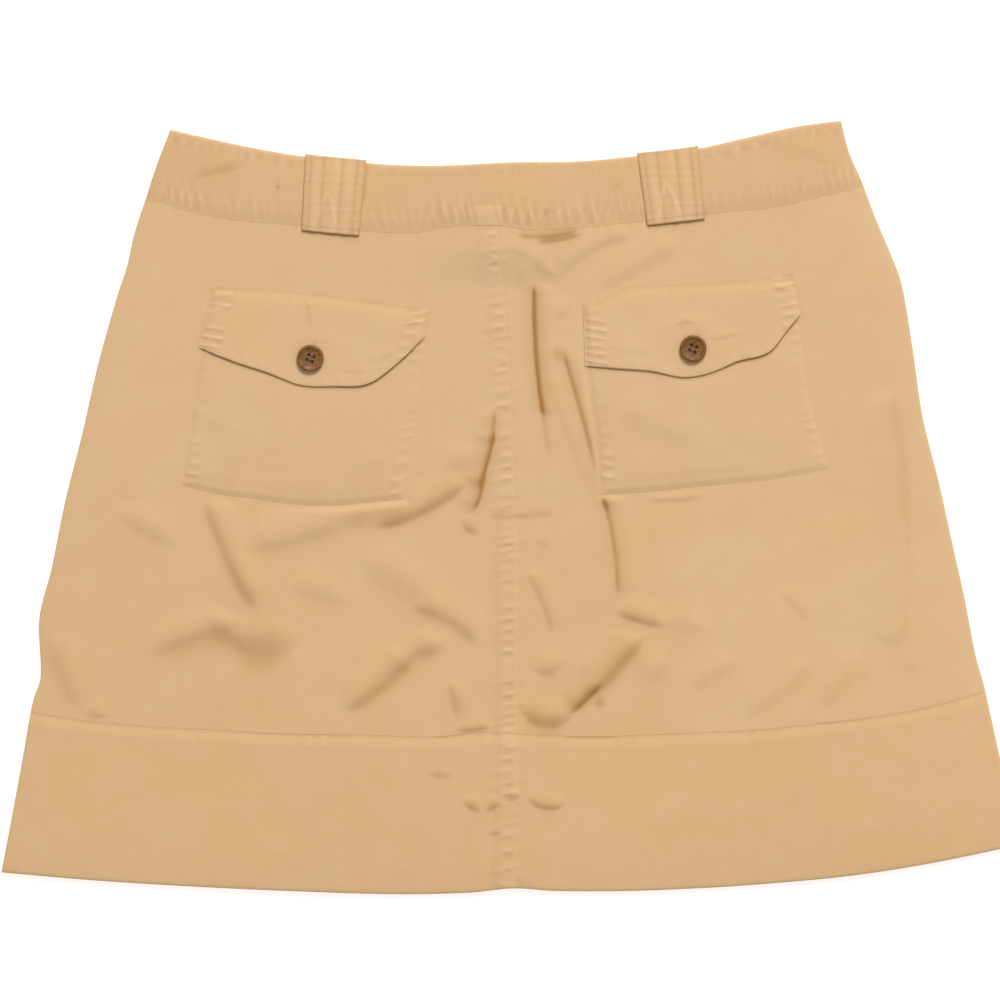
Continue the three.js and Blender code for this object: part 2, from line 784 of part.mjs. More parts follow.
// The front. Its side edges curl up to the seam with the back, and its underside is flat.
const frontLeft = moved(sideLeft, FRONT_INSET);
const frontRight = moved(sideRight, -FRONT_INSET);
const frontDip = (x) => FRONT_DIP * (1 - smooth(Math.abs(x) / FRONT_DIP_REACH));
const frontWaist = (x) => waistSeam(x) - frontDip(x);
const frontTop = (x) => topEdge(x) - frontDip(x) - FRONT_INSET;
const frontHem = moved(hemEdge, FRONT_HEM_INSET);

function frontSide(x, y) {
  return Math.max(Math.min(x - frontLeft(y), frontRight(y) - x), 0);
}

function frontPanelUnder(x, y) {
  const share = 1 - Math.min(frontSide(x, y) / FRONT_CURL_WIDTH, 1);
  return FRONT_CURL * share * share;
}

const FRONT_HALVES = [
  {
    name: "left",
    left: frontLeft,
    right: moved(centreSeam, -SEAM / 2),
    columns: [...LOW_EDGE, [0, 2.5], ...even(8, FRONT_CURL_WIDTH, 0)],
  },
  {
    name: "right",
    left: moved(centreSeam, SEAM / 2),
    right: frontRight,
    columns: [...even(8, 0, -FRONT_CURL_WIDTH), [1, -2.5], ...HIGH_EDGE],
  },
];
for (const half of FRONT_HALVES) {
  const panel = wall({
    left: half.left,
    right: half.right,
    low: moved(bandSeam, SEAM / 2),
    high: moved(frontWaist, -WAIST_GAP / 2),
    columns: half.columns,
    rows: even(11, 0, 0),
    under: frontPanelUnder,
    over: (x, y) => frontPanelUnder(x, y) + FRONT_CLOTH * rounded(frontSide(x, y), 1),
  });
  sew("front_panel_" + half.name, panel, TWILL);
  const band = wall({
    left: half.left,
    right: half.right,
    low: frontHem,
    high: moved(bandSeam, -SEAM / 2),
    columns: half.columns,
    rows: even(4, 0, 0),
    under: () => 0,
    over: () => FRONT_BAND_CLOTH,
  });
  sew("front_hem_band_" + half.name, band, TWILL);
}

// Front waistband: the left end runs on behind the right end, and a flat hook holds the lap
const lapLevel = FRONT_BAND_CLOTH + 2 * SEAM + HOOK.thickness;
const centreFront = centreSeam(waistSeam(0));
const lapUnder = (x) => lapLevel * smooth((x - centreFront + LAP_BEND) / LAP_BEND_LENGTH);
const LAP_COLUMNS = [-10, -8, -6, -4, -2, 0.5, LAP / 3, (2 * LAP) / 3, LAP];
const frontWaistbandLeft = wall({
  left: frontLeft,
  right: () => centreFront,
  low: moved(frontWaist, WAIST_GAP / 2),
  high: frontTop,
  columns: [...FRONT_HALVES[0].columns.slice(0, -1), ...LAP_COLUMNS.map((offset) => [1, offset])],
  rows: even(3, 0, 0),
  under: (x) => lapUnder(x),
  over: (x) => lapUnder(x) + FRONT_BAND_CLOTH,
});
sew("front_waistband_left", frontWaistbandLeft, TWILL);
const frontWaistbandRight = wall({
  left: () => centreFront,
  right: frontRight,
  low: moved(frontWaist, WAIST_GAP / 2),
  high: frontTop,
  columns: FRONT_HALVES[1].columns,
  rows: even(3, 0, 0),
  under: () => 0,
  over: () => FRONT_BAND_CLOTH,
});
sew("front_waistband_right", frontWaistbandRight, TWILL);

// A flat plate with rounded corners, its middle on the Z axis and its lower face on z = 0.
function plate(width, height, thickness, corner) {
  const x = width / 2;
  const y = height / 2;
  const outline = new THREE.Shape();
  outline.moveTo(-x + corner, -y);
  outline.lineTo(x - corner, -y);
  outline.absarc(x - corner, -y + corner, corner, -Math.PI / 2, 0);
  outline.absarc(x - corner, y - corner, corner, 0, Math.PI / 2);
  outline.absarc(-x + corner, y - corner, corner, Math.PI / 2, Math.PI);
  outline.absarc(-x + corner, -y + corner, corner, Math.PI, 1.5 * Math.PI);
  const options = { depth: thickness, bevelEnabled: false, curveSegments: 4 };
  return new THREE.ExtrudeGeometry(outline, options);
}

const hookPlate = plate(HOOK.width, HOOK.height, HOOK.thickness, HOOK.corner);
const hook = sew("waist_hook", hookPlate, STEEL);
const hookX = centreFront + LAP / 2;
const hookY = (frontWaist(hookX) + frontTop(hookX)) / 2;
hook.position.set(hookX, hookY, FRONT_BAND_CLOTH + SEAM);

// Zip behind the centre-front seam: two tapes with the closed coil between them, as one strip
const zipOutline = new THREE.Shape();
zipOutline.moveTo(-ZIP.width / 2, 0);
zipOutline.lineTo(ZIP.width / 2, 0);
zipOutline.lineTo(ZIP.width / 2, ZIP.tape);
zipOutline.lineTo(ZIP.coilWidth / 2, ZIP.tape);
zipOutline.lineTo(ZIP.coilWidth / 4, ZIP.coil);
zipOutline.lineTo(-ZIP.coilWidth / 4, ZIP.coil);
zipOutline.lineTo(-ZIP.coilWidth / 2, ZIP.tape);
zipOutline.lineTo(-ZIP.width / 2, ZIP.tape);
zipOutline.closePath();
const zipTop = frontWaist(centreFront) - ZIP.below;
const zipMiddle = centreSeam(zipTop - ZIP.length / 2);
const zipStrip = new THREE.ExtrudeGeometry(zipOutline, { depth: ZIP.length, bevelEnabled: false });
zipStrip.rotateX(Math.PI / 2);
const zip = sew("fly_zip", zipStrip, TWILL);
zip.position.set(zipMiddle, zipTop, FRONT_CLOTH + SEAM);
const sliderBody = plate(SLIDER.width, SLIDER.length, SLIDER.height, SLIDER.corner);
const slider = sew("zip_slider", sliderBody, STEEL);
const sliderY = zipTop - SLIDER.length / 2 - SLIDER.below;
slider.position.set(zipMiddle, sliderY, FRONT_CLOTH + SEAM + ZIP.coil + SEAM);

export default skirt;
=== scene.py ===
import math

import bpy
import numpy as np
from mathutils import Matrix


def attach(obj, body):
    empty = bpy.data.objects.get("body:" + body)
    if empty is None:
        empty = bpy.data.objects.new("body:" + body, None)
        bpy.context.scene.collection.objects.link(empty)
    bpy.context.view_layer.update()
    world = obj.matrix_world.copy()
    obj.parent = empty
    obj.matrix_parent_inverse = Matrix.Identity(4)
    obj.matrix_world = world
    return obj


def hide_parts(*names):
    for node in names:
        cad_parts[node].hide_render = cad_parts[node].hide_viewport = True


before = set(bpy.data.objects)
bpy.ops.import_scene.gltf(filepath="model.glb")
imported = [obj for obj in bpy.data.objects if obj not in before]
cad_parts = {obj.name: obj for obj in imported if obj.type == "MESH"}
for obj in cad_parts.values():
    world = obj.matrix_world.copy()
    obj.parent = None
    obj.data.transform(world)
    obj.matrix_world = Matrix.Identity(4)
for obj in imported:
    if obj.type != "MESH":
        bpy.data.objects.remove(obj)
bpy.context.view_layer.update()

# Camera: straight above the skirt and turned a little, as the photograph was taken, so that the
# picture is 0.6 m wide where the skirt lies.
PICTURE_WIDTH = 0.6
CAMERA_PLACE = (-0.0024, 0.0049, 3.0)
CAMERA_TURN = math.radians(-1.2)
SENSOR = 36.0
SIGHT = 30.0


def placed(name, data):
    """A new object with this data, in the scene."""
    made = bpy.data.objects.new(name, data)
    bpy.context.collection.objects.link(made)
    return made


camera = placed("camera", bpy.data.cameras.new("camera"))
camera.data.sensor_width = SENSOR
camera.data.lens = SENSOR * CAMERA_PLACE[2] / PICTURE_WIDTH
camera.data.clip_end = SIGHT
camera.location = CAMERA_PLACE
camera.rotation_euler = (0.0, 0.0, CAMERA_TURN)
bpy.context.scene.camera = camera
bpy.context.scene.view_settings.view_transform = "Standard"


# Front of the skirt: two panels of cotton twill joined at the centre front, which lie face down on
# the surface under everything else. Their side seams curl up a little to meet the back.
# All sizes here and below are in millimetres, and a mesh is scaled to metres when it is made.
MM = 0.001
FRONT_CLOTH = 1.0
FRONT_BAND_CLOTH = 1.6
SEAM = 0.3
CLOSE = 0.04  # what is left open along a seam
FRONT_INSET = 0.5
FRONT_HEM_INSET = 1.2
FRONT_DIP = 9.0  # how far the front's waist hangs below the back's, at the middle
FRONT_DIP_REACH = 190.0
FRONT_CURL = 0.6
FRONT_CURL_WIDTH = 6.0
FRONT_ROUND = 1.0
EDGE_SHARE = 0.45
FRONT_STEP = 3.5
FRONT_CREASE_DEPTH = 0.35
FRONT_CREASE_WIDTH = 6.0
FRONT_CREASE_FADE = 30.0
TAPER = 0.4  # a crease's width at its ends, as a share of that at its middle
WALL_PASSES = 14
RELIEF_TONE_SHARE = 0.6  # of the relief, in the cloth's rubbing and painted light
CLOTH_SHARP = math.radians(50)
TWILL_TONE = (0.690, 0.449, 0.238, 1.0)
# the paler colour of slubs and clouds, and of raised places, rubbed pale and painted highlight
TWILL_PALE = (0.790, 0.560, 0.335, 1.0)
# the deeper colour of painted shade in creases, hollows and shaded places
TWILL_SHADE = (0.375, 0.168, 0.030, 1.0)
TWILL_WARM = (0.690, 0.432, 0.212, 1.0)

SIDES = [  # y, left edge, right edge
    (232, -195, 206),
    (210, -204, 211),
    (190, -211, 219),
    (170, -218, 226),
    (150, -223, 234),
    (130, -230, 241),
    (90, -242, 247),
    (50, -252, 252),
    (10, -263, 261),
    (-30, -272, 269),
    (-60, -280, 275),
    (-95, -280, 281),
    (-110, -285, 285),
    (-150, -293, 293),
    (-212, -306, 306),
]
TOP = [  # x, y of the waistband's top edge
    (-195, 231),
    (-175, 226),
    (-150, 220),
    (-120, 214),
    (-90, 210),
    (-60, 207),
    (-30, 206),
    (10, 207),
    (50, 207),
    (90, 210),
    (120, 213),
    (150, 219),
    (180, 225),
    (206, 228),
]
WAIST_SEAM = [  # x, y
    (-211, 190),
    (-190, 183),
    (-165, 177),
    (-120, 172),
    (-85, 168),
    (-50, 166),
    (-30, 169),
    (0, 169),
    (20, 166),
    (50, 167),
    (85, 170),
    (130, 174),
    (165, 177),
    (195, 183),
    (218, 188),
]
BAND_SEAM = [  # x, y
    (-288, -116),
    (-255, -122),
    (-220, -126),
    (-180, -129),
    (-140, -132),
    (-90, -134),
    (-45, -136),
    (-15, -134),
    (15, -136),
    (50, -138),
    (110, -137),
    (150, -136),
    (185, -133),
    (217, -130),
    (250, -125),
    (286, -116),
]
HEM = [  # x, y
    (-306, -212),
    (-250, -218),
    (-190, -223),
    (-130, -227),
    (-70, -230),
    (-25, -230),
    (0, -228),
    (25, -230),
    (70, -231),
    (120, -230),
    (160, -228),
    (200, -225),
    (240, -220),
    (275, -214),
    (306, -208),
]
CENTRE = [(170, 0), (130, 3), (70, 6), (0, 7), (-136, 5), (-232, 2)]  # y, x of the centre seam
FRONT_CREASES = [  # x0, y0, x1, y1, bow: shallow creases of the hidden front
    (-60, 120, -150, 60, 6),
    (-40, 30, -170, -20, -8),
    (-30, -40, -120, -95, 5),
    (40, 110, 150, 70, -6),
    (35, 10, 180, -30, 7),
    (60, -60, 140, -105, -4),
    (-230, 20, -250, -90, 5),
    (225, 30, 245, -80, -4),
]


def smooth(share):
    """Rises smoothly from 0 to 1 as the share goes from 0 to 1."""
    t = np.clip(share, 0.0, 1.0)
    return t * t * (3.0 - 2.0 * t)


def curve(rows, value=1):
    """A smooth line through a table's first column and another one. Between rows it is the cubic
    whose end slopes are those of the chords between neighbours; beyond the ends it is straight."""
    table = np.array(sorted(rows), float)
    at = table[:, 0]
    height = table[:, value]
    slope = np.empty_like(at)
    slope[1:-1] = (height[2:] - height[:-2]) / (at[2:] - at[:-2])
    slope[0] = (height[1] - height[0]) / (at[1] - at[0])
    slope[-1] = (height[-1] - height[-2]) / (at[-1] - at[-2])

    def line(along):
        i = np.clip(np.searchsorted(at, along) - 1, 0, len(at) - 2)
        span = at[i + 1] - at[i]
        t = np.clip((along - at[i]) / span, 0.0, 1.0)
        rise = smooth(t)
        pull = (1.0 - t) * slope[i] - t * slope[i + 1]
        inside = height[i] * (1.0 - rise) + height[i + 1] * rise + t * (1.0 - t) * span * pull
        before = slope[0] * np.minimum(along - at[0], 0.0)
        after = slope[-1] * np.maximum(along - at[-1], 0.0)
        return inside + before + after

    return line


def moved(line, distance):
    """The same line, moved by a distance."""
    return lambda along: line(along) + distance


side_left = curve(SIDES, 1)
side_right = curve(SIDES, 2)
top_edge = curve(TOP)
waist_seam = curve(WAIST_SEAM)
band_seam = curve(BAND_SEAM)
hem_edge = curve(HEM)
centre_seam = curve(CENTRE)


def rounded(distance, radius):
    """Share of a wall's thickness at a distance from its edge: a quarter round down to EDGE_SHARE."""
    share = 1.0 - np.clip(distance / radius, 0.0, 1.0)
    return EDGE_SHARE + (1.0 - EDGE_SHARE) * np.sqrt(1.0 - share * share)


def bell(distance, width):
    """A bell curve: 1 at no distance, and about a third at the width."""
    return np.exp(-np.square(distance / width))


def crease_place(x, y, row, fade):
    """Where points lie by a crease's bowed line: their distance to the left of it, counted wider
    towards the ends so that it tapers, and a strength that fades out over a length at each end."""
    x0, y0, x1, y1, bow = row[:5]
    dx, dy = x1 - x0, y1 - y0
    length = math.hypot(dx, dy)
    along = np.clip(((x - x0) * dx + (y - y0) * dy) / length**2, 0.0, 1.0)
    across = ((y - y0) * dx - (x - x0) * dy) / length - 4.0 * bow * along * (1.0 - along)
    share = min(0.5, fade / length)
    strength = smooth(along / share) * smooth((1.0 - along) / share)
    return across / (TAPER + (1.0 - TAPER) * strength), strength


def stations(length, step, low_edge=(0.0,), high_edge=(0.0,)):
    """Places across a wall as (share, offset) rows, for the wall's share of the way from one edge to
    the other plus millimetres: close ones by rounded edges, even ones between, an odd count in all."""
    count = max(round(length / step), 2)
    count += (count + len(low_edge) + len(high_edge)) % 2
    share = np.linspace(0.0, 1.0, count + 1)
    even = np.stack([share, low_edge[-1] * (1.0 - share) - high_edge[-1] * share], axis=1)
    low = np.array([(0.0, distance) for distance in low_edge[:-1]]).reshape(-1, 2)
    high = np.array([(1.0, -distance) for distance in high_edge[-2::-1]]).reshape(-1, 2)
    return np.concatenate([low, even, high])


def flat_cloth(x, y):
    """No relief at all."""
    return np.zeros_like(x)


def both(first, second):
    """Two heights added at each point, such as an upper side and its relief."""
    return lambda x, y: first(x, y) + second(x, y)


def wall(name, left, right, low, high, across, up, under, over, relief=flat_cloth, shade=flat_cloth, thin=2):
    """A closed wall of cloth over a grid between four lines. Its upper side is over plus relief, its
    lower side is under at every thin-th station, and a rim joins them. Both sides are heights at a
    point. The attribute rubbing_and_painted_light keeps a share of the relief, paler where raised as
    rubbing and painted highlight and deeper in hollows as painted shade, plus the shade argument:
    painted shade, and on the back also a rubbed patch and a paler lower right."""
    x = np.zeros((len(up), len(across)))
    y = np.zeros_like(x)
    for _ in range(WALL_PASSES):
        start = left(y)
        x = start + across[:, 0] * (right(y) - start) + across[:, 1]
        start = low(x)
        y = start + up[:, :1] * (high(x) - start) + up[:, 1:]
    raised = relief(x, y)
    outer = np.stack([x, y, over(x, y) + raised], axis=-1)
    coarse_x = x[::thin, ::thin]
    coarse_y = y[::thin, ::thin]
    inner = np.stack([coarse_x, coarse_y, under(coarse_x, coarse_y)], axis=-1)
    top = np.arange(x.size).reshape(x.shape)
    bottom = x.size + np.arange(coarse_x.size).reshape(coarse_x.shape)

    def quads(grid):
        return np.stack([grid[:-1, :-1], grid[:-1, 1:], grid[1:, 1:], grid[1:, :-1]], axis=-1).reshape(-1, 4)

    def rim(grid):
        return np.concatenate([grid[0, :-1], grid[:-1, -1], grid[-1, :0:-1], grid[:0:-1, 0]])

    fine, coarse = rim(top), rim(bottom)
    edge = [coarse, np.roll(coarse, -1)] + [np.roll(fine, -i)[::thin] for i in range(thin, -1, -1)]
    faces = quads(top).tolist() + quads(bottom)[:, ::-1].tolist() + np.stack(edge, axis=1).tolist()
    mesh = bpy.data.meshes.new(name)
    mesh.from_pydata(np.concatenate([outer.reshape(-1, 3), inner.reshape(-1, 3)]) * MM, [], faces)
    rubbing_and_painted_light = mesh.attributes.new("rubbing_and_painted_light", "FLOAT", "POINT")
    # painted light: relief paler where raised (rubbing and highlight), deeper in hollows, plus painted shade
    tone_shift = RELIEF_TONE_SHARE * raised + shade(x, y)
    rubbing_and_painted_light.data.foreach_set("value", np.concatenate([tone_shift.ravel(), np.zeros(coarse_x.size)]))
    mesh.shade_smooth()
    mesh.set_sharp_from_angle(angle=CLOTH_SHARP)
    return placed(name, mesh)


class Wire:
    """A socket in a shader tree. An operator on it adds the Math node that works it out, and node
    adds any other node: its type, its settings, and the value or link of each input."""

    def __init__(self, tree, socket=None):
        self.tree = tree
        self.socket = socket

    def node(self, kind, settings=None, inputs=None, output=0):
        made = self.tree.nodes.new("ShaderNode" + kind)
        for key, value in (settings or {}).items():
            setattr(made, key, value)
        for key, value in (inputs or {}).items():
            if isinstance(value, Wire):
                self.tree.links.new(value.socket, made.inputs[key])
            else:
                made.inputs[key].default_value = value
        return Wire(self.tree, made.outputs[output] if made.outputs else None)

    def maths(self, operation, first, second=0.0):
        return self.node("Math", {"operation": operation}, {0: first, 1: second})

    def __add__(self, other):
        return self.maths("ADD", self, other)

    __radd__ = __add__

    def __sub__(self, other):
        return self.maths("SUBTRACT", self, other)

    def __rsub__(self, other):
        return self.maths("SUBTRACT", other, self)

    def __mul__(self, other):
        return self.maths("MULTIPLY", self, other)

    __rmul__ = __mul__

    def between(self, low, high):
        """The share of the way that the value has gone from low to high, held between 0 and 1."""
        return self.node("MapRange", {"clamp": True}, {"Value": self, "From Min": low, "From Max": high})

    def mix(self, colour, other):
        """The colour turned into the other by this share."""
        return self.node("Mix", {"data_type": "RGBA"}, {0: self, 6: colour, 7: other}, 2)


def new_shader(name):
    """An empty material's tree, and its Object coordinates."""
    material = bpy.data.materials.new(name)
    material.use_nodes = True
    material.node_tree.nodes.clear()
    tree = Wire(material.node_tree)
    return material, tree, tree.node("TexCoord", output="Object")


def finish_shader(tree, inputs):
    """The Principled shader with these inputs, joined to the material's output."""
    shader = tree.node("BsdfPrincipled", None, inputs)
    tree.node("OutputMaterial", None, {"Surface": shader})


def cotton_twill(name, tone=TWILL_TONE, rubbing_and_painted_light=TWILL_PALE, deep=TWILL_SHADE, warm=TWILL_WARM):
    """Soft washed cotton: fine diagonal ribs and slubs in the bump, slow drifts of colour, a warmer tone
    towards the bottom, and a faint sheen of loose fibre. By the attribute rubbing_and_painted_light,
    raised places are paler, partly rubbed pale and partly a painted highlight, and creases, hollows
    and shaded places take the deeper colour of painted shade."""
    material, tree, place = new_shader(name)
    drift = tree.node("TexNoise", None, {"Vector": place, "Scale": 16.0, "Detail": 3.0, "Roughness": 0.55})
    cloud = tree.node("TexNoise", None, {"Vector": place, "Scale": 70.0, "Detail": 2.0})
    fibre = tree.node("TexNoise", None, {"Vector": place, "Scale": 900.0, "Detail": 2.0})
    turned = tree.node("Mapping", None, {"Vector": place, "Rotation": (0.0, 0.0, math.radians(-58))})
    ribs = tree.node("TexWave", None, {"Vector": turned, "Scale": 330.0, "Distortion": 1.2, "Detail": 1.0})
    slubs = tree.node("Mapping", None, {"Vector": place, "Scale": (90.0, 900.0, 200.0)})
    slub = tree.node("TexNoise", None, {"Vector": slubs, "Scale": 1.0, "Detail": 1.0})
    # painted light and rubbing, written at each point by wall
    relief = tree.node("Attribute", {"attribute_name": "rubbing_and_painted_light"}, None, "Fac")
    raised = relief.between(0.04, 0.40)
    hollow = (0.0 - relief).between(0.03, 1.0)
    lower = 1.0 - tree.node("SeparateXYZ", None, {"Vector": place}, 1).between(-0.16, 0.04)
    colour = (drift.between(0.38, 0.68) * 0.5 + lower * 0.5).mix(tone, warm)
    colour = (cloud.between(0.45, 0.8) * 0.16).mix(colour, rubbing_and_painted_light)
    colour = (slub.between(0.5, 0.85) * 0.12).mix(colour, rubbing_and_painted_light)
    # raised places paler: partly rubbed pale, partly a painted highlight
    colour = (raised * (0.35 + 0.5 * fibre)).mix(colour, rubbing_and_painted_light)
    # painted shade: creases, hollows and shaded places turned a deeper colour
    colour = (hollow * 0.85).mix(colour, deep)
    height = ribs * 0.5 + fibre * 0.6 + slub * 0.5
    bump = tree.node("Bump", None, {"Strength": 0.25, "Distance": 0.00012, "Height": height})
    inputs = {
        "Base Color": colour,
        "Roughness": 0.82 + 0.12 * cloud,
        "Normal": bump,
        "Sheen Weight": 0.12,
        "Sheen Roughness": 0.45,
        "Specular IOR Level": 0.25,
    }
    finish_shader(tree, inputs)
    return material


def sewn_in(piece, material):
    """The piece gets its material and rides on the skirt."""
    piece.data.materials.append(material)
    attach(piece, "root")


twill = cotton_twill("cotton twill")
front_left = moved(side_left, FRONT_INSET)
front_right = moved(side_right, -FRONT_INSET)
front_hem = moved(hem_edge, FRONT_HEM_INSET)


def front_dip(x):
    """How far the front's waist hangs below the back's, less towards the sides."""
    return FRONT_DIP * (1.0 - smooth(np.abs(x) / FRONT_DIP_REACH))


def front_waist(x):
    """The front's waist seam: the back's, lower by the dip."""
    return waist_seam(x) - front_dip(x)


def front_top(x):
    """The front's top edge: the back's, lower by the dip and the inset."""
    return top_edge(x) - front_dip(x) - FRONT_INSET


def front_side(x, y):
    """Distance to the nearer side edge of the front."""
    return np.maximum(np.minimum(x - front_left(y), front_right(y) - x), 0.0)


def front_creases(x, y):
    """Shallow hollows of the front's face, which lies down: the sum of its creases' bells."""
    hollow = np.zeros_like(x)
    for row in FRONT_CREASES:
        across, strength = crease_place(x, y, row, FRONT_CREASE_FADE)
        hollow += FRONT_CREASE_DEPTH * strength * bell(across, FRONT_CREASE_WIDTH)
    return hollow


def front_curl(x, y):
    """The height that the front curls up to at a point, by its side seams."""
    return FRONT_CURL * np.square(1.0 - np.clip(front_side(x, y) / FRONT_CURL_WIDTH, 0.0, 1.0))


def front_under(x, y):
    """Flat on the surface, but for the curl at the side seams and the creases."""
    return front_curl(x, y) + front_creases(x, y)


def front_over(x, y):
    """The curl plus the cloth's thickness, rounded off at the side seams."""
    return front_curl(x, y) + FRONT_CLOTH * rounded(front_side(x, y), FRONT_ROUND)


SIDE_STATIONS = (0.0, 0.7, 2.5, 6.0)
front_columns_left = stations(272, FRONT_STEP, SIDE_STATIONS)
front_columns_right = stations(272, FRONT_STEP, (0.0,), SIDE_STATIONS)
front_panel_rows = stations(300, FRONT_STEP)
front_halves = [
    ("left", front_left, moved(centre_seam, -CLOSE / 2), front_columns_left),
    ("right", moved(centre_seam, CLOSE / 2), front_right, front_columns_right),
]
for side, left, right, columns in front_halves:
    low, high = moved(band_seam, SEAM / 2), moved(front_waist, -SEAM / 2)
    name = "front_panel_cloth_" + side
    panel = wall(name, left, right, low, high, columns, front_panel_rows, front_under, front_over, thin=1)
    sewn_in(panel, twill)
    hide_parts("front_panel_" + side)

# Hem band of the front: a deep strip of the same twill on each half, turned double and pressed.
band_rows_plain = stations(93, FRONT_STEP)


def front_band_over(x, y):
    """Two layers of cloth, level all over."""
    return np.full_like(x, FRONT_BAND_CLOTH)


for side, left, right, columns in front_halves:
    band = wall(
        "front_hem_band_cloth_" + side,
        left,
        right,
        front_hem,
        moved(band_seam, -SEAM / 2),
        columns,
        band_rows_plain,
        front_creases,
        front_band_over,
        thin=1,
    )
    sewn_in(band, twill)
    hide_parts("front_hem_band_" + side)

# Waistband of the front: two double strips. The left end runs on behind the right end, and the
# step of that lap is a hook's thickness high.
LAP = 26.0
LAP_BEND = 8.0  # how far left of the middle the step starts, and its length
LAP_BEND_LENGTH = 6.0
HOOK_THICKNESS = 0.6
LAP_PLACES = (-10.0, -8.0, -7.0, -6.0, -5.0, -4.0, -2.0, 0.5, 5.0, 10.0, 16.0, 21.0, LAP)
lap_level = FRONT_BAND_CLOTH + 2 * SEAM + HOOK_THICKNESS
centre_front = float(centre_seam(waist_seam(np.array(0.0))))


def lap_under(x, y):
    """Level with the surface, then up onto the hook that the right end carries."""
    return lap_level * smooth((x - centre_front + LAP_BEND) / LAP_BEND_LENGTH)


def front_middle(y):
    """The upright line at the centre front."""
    return np.full_like(y, centre_front)


waistband_rows_plain = stations(38, FRONT_STEP)
lap_columns = np.concatenate([front_columns_left[:-4], [(1.0, place) for place in LAP_PLACES]])
front_waistband_left = wall(
    "front_waistband_cloth_left",
    front_left,
    front_middle,
    moved(front_waist, SEAM / 2),
    front_top,
    lap_columns,
    waistband_rows_plain,
    lap_under,
    both(lap_under, front_band_over),
    thin=1,
)
front_waistband_right = wall(
    "front_waistband_cloth_right",
    front_middle,
    front_right,
    moved(front_waist, SEAM / 2),
    front_top,
    front_columns_right,
    waistband_rows_plain,
    flat_cloth,
    front_band_over,
    thin=1,
)
sewn_in(front_waistband_left, twill)
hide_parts("front_waistband_left")
sewn_in(front_waistband_right, twill)
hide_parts("front_waistband_right")

# Zip and hook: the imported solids, hidden between the layers. The zip's tape is woven cotton in the
# skirt's colour, and its slider and the waistband's hook are brushed steel.
STEEL_TONE = (0.27, 0.265, 0.25, 1.0)
STEEL_WORN = (0.46, 0.45, 0.43, 1.0)


def brushed_steel(name):
    """Dull steel: fine scratches along one way in its tone, roughness and bump."""
    material, tree, place = new_shader(name)
    stretched = tree.node("Mapping", None, {"Vector": place, "Scale": (300.0, 4000.0, 300.0)})
    scratch = tree.node("TexNoise", None, {"Vector": stretched, "Scale": 1.0, "Detail": 3.0})
    bump = tree.node("Bump", None, {"Strength": 0.2, "Distance": 0.0001, "Height": scratch})
    inputs = {
        "Base Color": scratch.between(0.35, 0.7).mix(STEEL_TONE, STEEL_WORN),
        "Roughness": 0.3 + 0.2 * scratch,
        "Normal": bump,
        "Metallic": 0.9,
    }
    finish_shader(tree, inputs)
    return material


steel = brushed_steel("brushed steel")
zip_tape = cotton_twill("zip tape", TWILL_WARM, TWILL_TONE, TWILL_SHADE, TWILL_WARM)
for name, material in (("fly_zip", zip_tape), ("zip_slider", steel), ("waist_hook", steel)):
    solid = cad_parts[name]
    solid.data.materials.clear()
    solid.data.materials.append(material)

# Back panels: two panels of one layer of twill, joined by a felled seam whose allowances lie as a
# raised, twice stitched strip on the left one. The folds are those that the skirt lies in.
PANEL_CLOTH = 1.2
REST = FRONT_BAND_CLOTH + SEAM
LOFT = 2.0
SIDE_FALL = 13.0
END_FALL = 16.0
END_SPARE = 0.6
LEAST_SWELL = 0.2
WAVE = 0.7
WAVE_X = 43.0
WAVE_Y = 57.0
WAVE_START_X = 0.6
WAVE_START_Y = 0.9
EDGE_RADIUS = 2.5
LAP_SWELL = 3.6  # the rise over the front's lap, which starts below the waist seam and fades in
LAP_BELOW = 38.0
LAP_RISE = 26.0
LAP_REACH = 34.0
CENTRE_PITCH = 6.6  # of the puckers along the centre seam
FELL_WIDTH = 11.5
FELL_HEIGHT = 0.8
FELL_STEP = 2.6
FELL_ROWS = (1.9, 9.4)
CALM_MARGIN = 0.5
CALM_FADE = 5.0
BUTTON_FLAT = 14.0
BUTTON_BLEND = 25.0
PANEL_STEP = 1.1
PALE_RIGHT = 0.12  # the lower right of the back is a little paler, from here to a width further
PALE_FROM = 70.0
PALE_WIDTH = 50.0
PALE_DROP = 30.0
UNDER_LOOPS = ((-117, -84), (90, 123))  # where the belt loops' lower ends lie on the panels
EDGE_STATIONS = (0.0, 0.35, 0.8, 1.5, 2.5)

